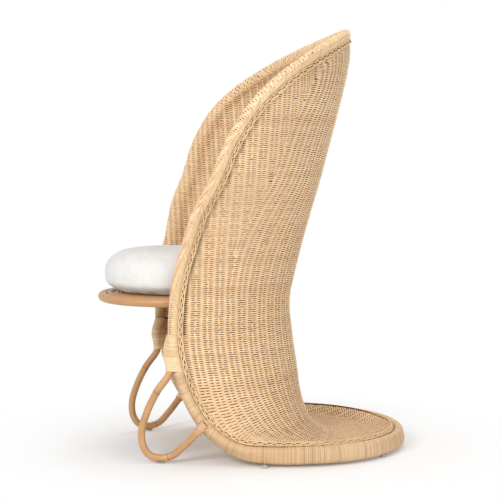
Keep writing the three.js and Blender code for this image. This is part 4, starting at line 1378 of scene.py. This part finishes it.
links.new(ramp(nodes, links, cloth_shade, *cotton_colours), shader.inputs["Base Color"])
woven = bumped(nodes, links, crossed, 0.4, 0.0006)
folds = noise(nodes, links, where, 9.0)
links.new(bumped(nodes, links, folds, 0.35, 0.004, under=woven), shader.inputs["Normal"])
for piece in (cushion, seam):
    piece.data.materials.clear()
    piece.data.materials.append(cotton)
print("cotton on", cushion.name, "and", seam.name)

# %% [markdown]
# ## Screws and hidden poles
# Six CAD nodes have no piece over them: the four screws and the two poles under the windings. They have the
# right shape already, so they stay and only get finishes: plain steel, and bare rattan that hardly any light
# reaches.

# %% Finishes on the CAD model
steel, _, _, shader, _ = speckled(
    "screw_steel", 0.35, 900.0, 2.0, linear(150, 148, 142), linear(196, 194, 188))
shader.inputs["Metallic"].default_value = 0.9
core = speckled("hidden_pole", 0.5, 60.0, 4.0, linear(176, 128, 84), linear(214, 168, 118))[0]

for shown in [o for o in bpy.data.objects if o.get("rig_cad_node") and not o.hide_render]:
    finish = steel if "screw" in shown.name else core
    for material_slot in shown.material_slots:
        material_slot.link = "OBJECT"
        material_slot.material = finish
    print("finish on CAD node", shown.name, len(shown.material_slots))

# %% [markdown]
# ## Camera, floor and light
# The chair is seen from its right side, a little from the front and a little from above, through a long
# lens, as in a catalogue. The camera stands four metres away and looks slightly down.

# %% Camera
CAMERA_DISTANCE = 4.0
CAMERA_TURN = math.radians(8.0)
CAMERA_HEIGHT = 0.828
CAMERA_PITCH = math.radians(4.05)
CAMERA_LENS = 103.68
CAMERA_SENSOR = 36
camera = placed("camera", bpy.data.cameras.new("camera"))
turn_x, turn_y = math.cos(CAMERA_TURN), math.sin(CAMERA_TURN)
camera.location = (CAMERA_DISTANCE * turn_x, -CAMERA_DISTANCE * turn_y + Y_SHIFT, CAMERA_HEIGHT)
level_share = math.cos(CAMERA_PITCH)
look = Vector((-turn_x * level_share, turn_y * level_share, -math.sin(CAMERA_PITCH)))
camera.rotation_euler = look.to_track_quat("-Z", "Y").to_euler()
camera.data.lens = CAMERA_LENS
camera.data.sensor_width = CAMERA_SENSOR
bpy.context.scene.camera = camera
print("camera at", [round(v, 3) for v in camera.location])

# %% [markdown]
# The floor is a plain pale surface that keeps the chair's soft shadow. Further out it glows by itself, so
# that it meets the white background without an edge.

# %% Floor
FLOOR_HALF = 9
FLOOR_PALENESS = 0.93
GLOW_RANGE = {"From Min": 0.2, "From Max": 0.9}
floor_mesh = bpy.data.meshes.new("floor")
floor_corners = [(x * FLOOR_HALF, y * FLOOR_HALF, 0) for x, y in ((-1, -1), (1, -1), (1, 1), (-1, 1))]
floor_mesh.from_pydata(floor_corners, [], [(0, 1, 2, 3)])
floor = placed("floor", floor_mesh)
white, nodes, links, shader = new_material("floor_white", 0.9, 0.0)
shader.inputs["Base Color"].default_value = (*grey(FLOOR_PALENESS), 1)
glow = add_node(nodes, "ShaderNodeEmission", {"Color": (1, 1, 1, 1), "Strength": 1.0})
distance = add_node(nodes, "ShaderNodeVectorMath", operation="LENGTH")
links.new(object_place(nodes), distance.inputs[0])
far_off = add_node(nodes, "ShaderNodeMapRange", GLOW_RANGE, interpolation_type="SMOOTHSTEP")
links.new(distance.outputs["Value"], far_off.inputs["Value"])
blend = nodes.new("ShaderNodeMixShader")
for socket, result in enumerate((far_off.outputs[0], shader.outputs[0], glow.outputs[0])):
    links.new(result, blend.inputs[socket])
links.new(blend.outputs[0], nodes["Material Output"].inputs["Surface"])
floor_mesh.materials.append(white)
print("floor", 2 * FLOOR_HALF, "m wide")

# %% [markdown]
# Four large round lamps light the chair softly: a key from the front right, a fill from the side, one above
# and one behind. The world fills the shadows at a lower level than the white that the camera sees.

# %% Light
LAMPS = (
    # name, place, target, width, power
    ("key", (3.0, -2.2, 2.0), (0, 0, 0.5), 1.6, 81),
    ("front_fill", (3.4, 1.2, 0.9), (0, 0, 0.35), 2.2, 30),
    ("top", (0, 0.2, 3.2), (0, 0, 0.4), 2.4, 16),
    ("back", (-2.4, 1.6, 2.2), (0, 0, 0.6), 2.0, 20),
)
SHADOW_FILL = 0.6
for name, place, target, width, power in LAMPS:
    lamp = placed(name, bpy.data.lights.new(name, "AREA"))
    lamp.data.energy = power
    lamp.data.shape = "DISK"
    lamp.data.size = width
    lamp.location = place
    lamp.rotation_euler = (Vector(target) - Vector(place)).to_track_quat("-Z", "Y").to_euler()

world = bpy.data.worlds.new("studio")
bpy.context.scene.world = world
world.use_nodes = True
nodes, links = world.node_tree.nodes, world.node_tree.links
background = nodes["Background"]
ray = nodes.new("ShaderNodeLightPath")
seen = sum_of(nodes, links, ray.outputs["Is Camera Ray"], 1.0, ray.outputs["Is Glossy Ray"])
seen = sum_of(nodes, links, ray.outputs["Is Transmission Ray"], 1.0, seen)
strength = add_node(nodes, "ShaderNodeMapRange", {"To Min": SHADOW_FILL, "To Max": 1.0})
links.new(seen, strength.inputs["Value"])
links.new(strength.outputs[0], background.inputs["Strength"])
background.inputs["Color"].default_value = (1, 1, 1, 1)
bpy.context.scene.view_settings.view_transform = "Standard"
print(len(LAMPS), "lamps")
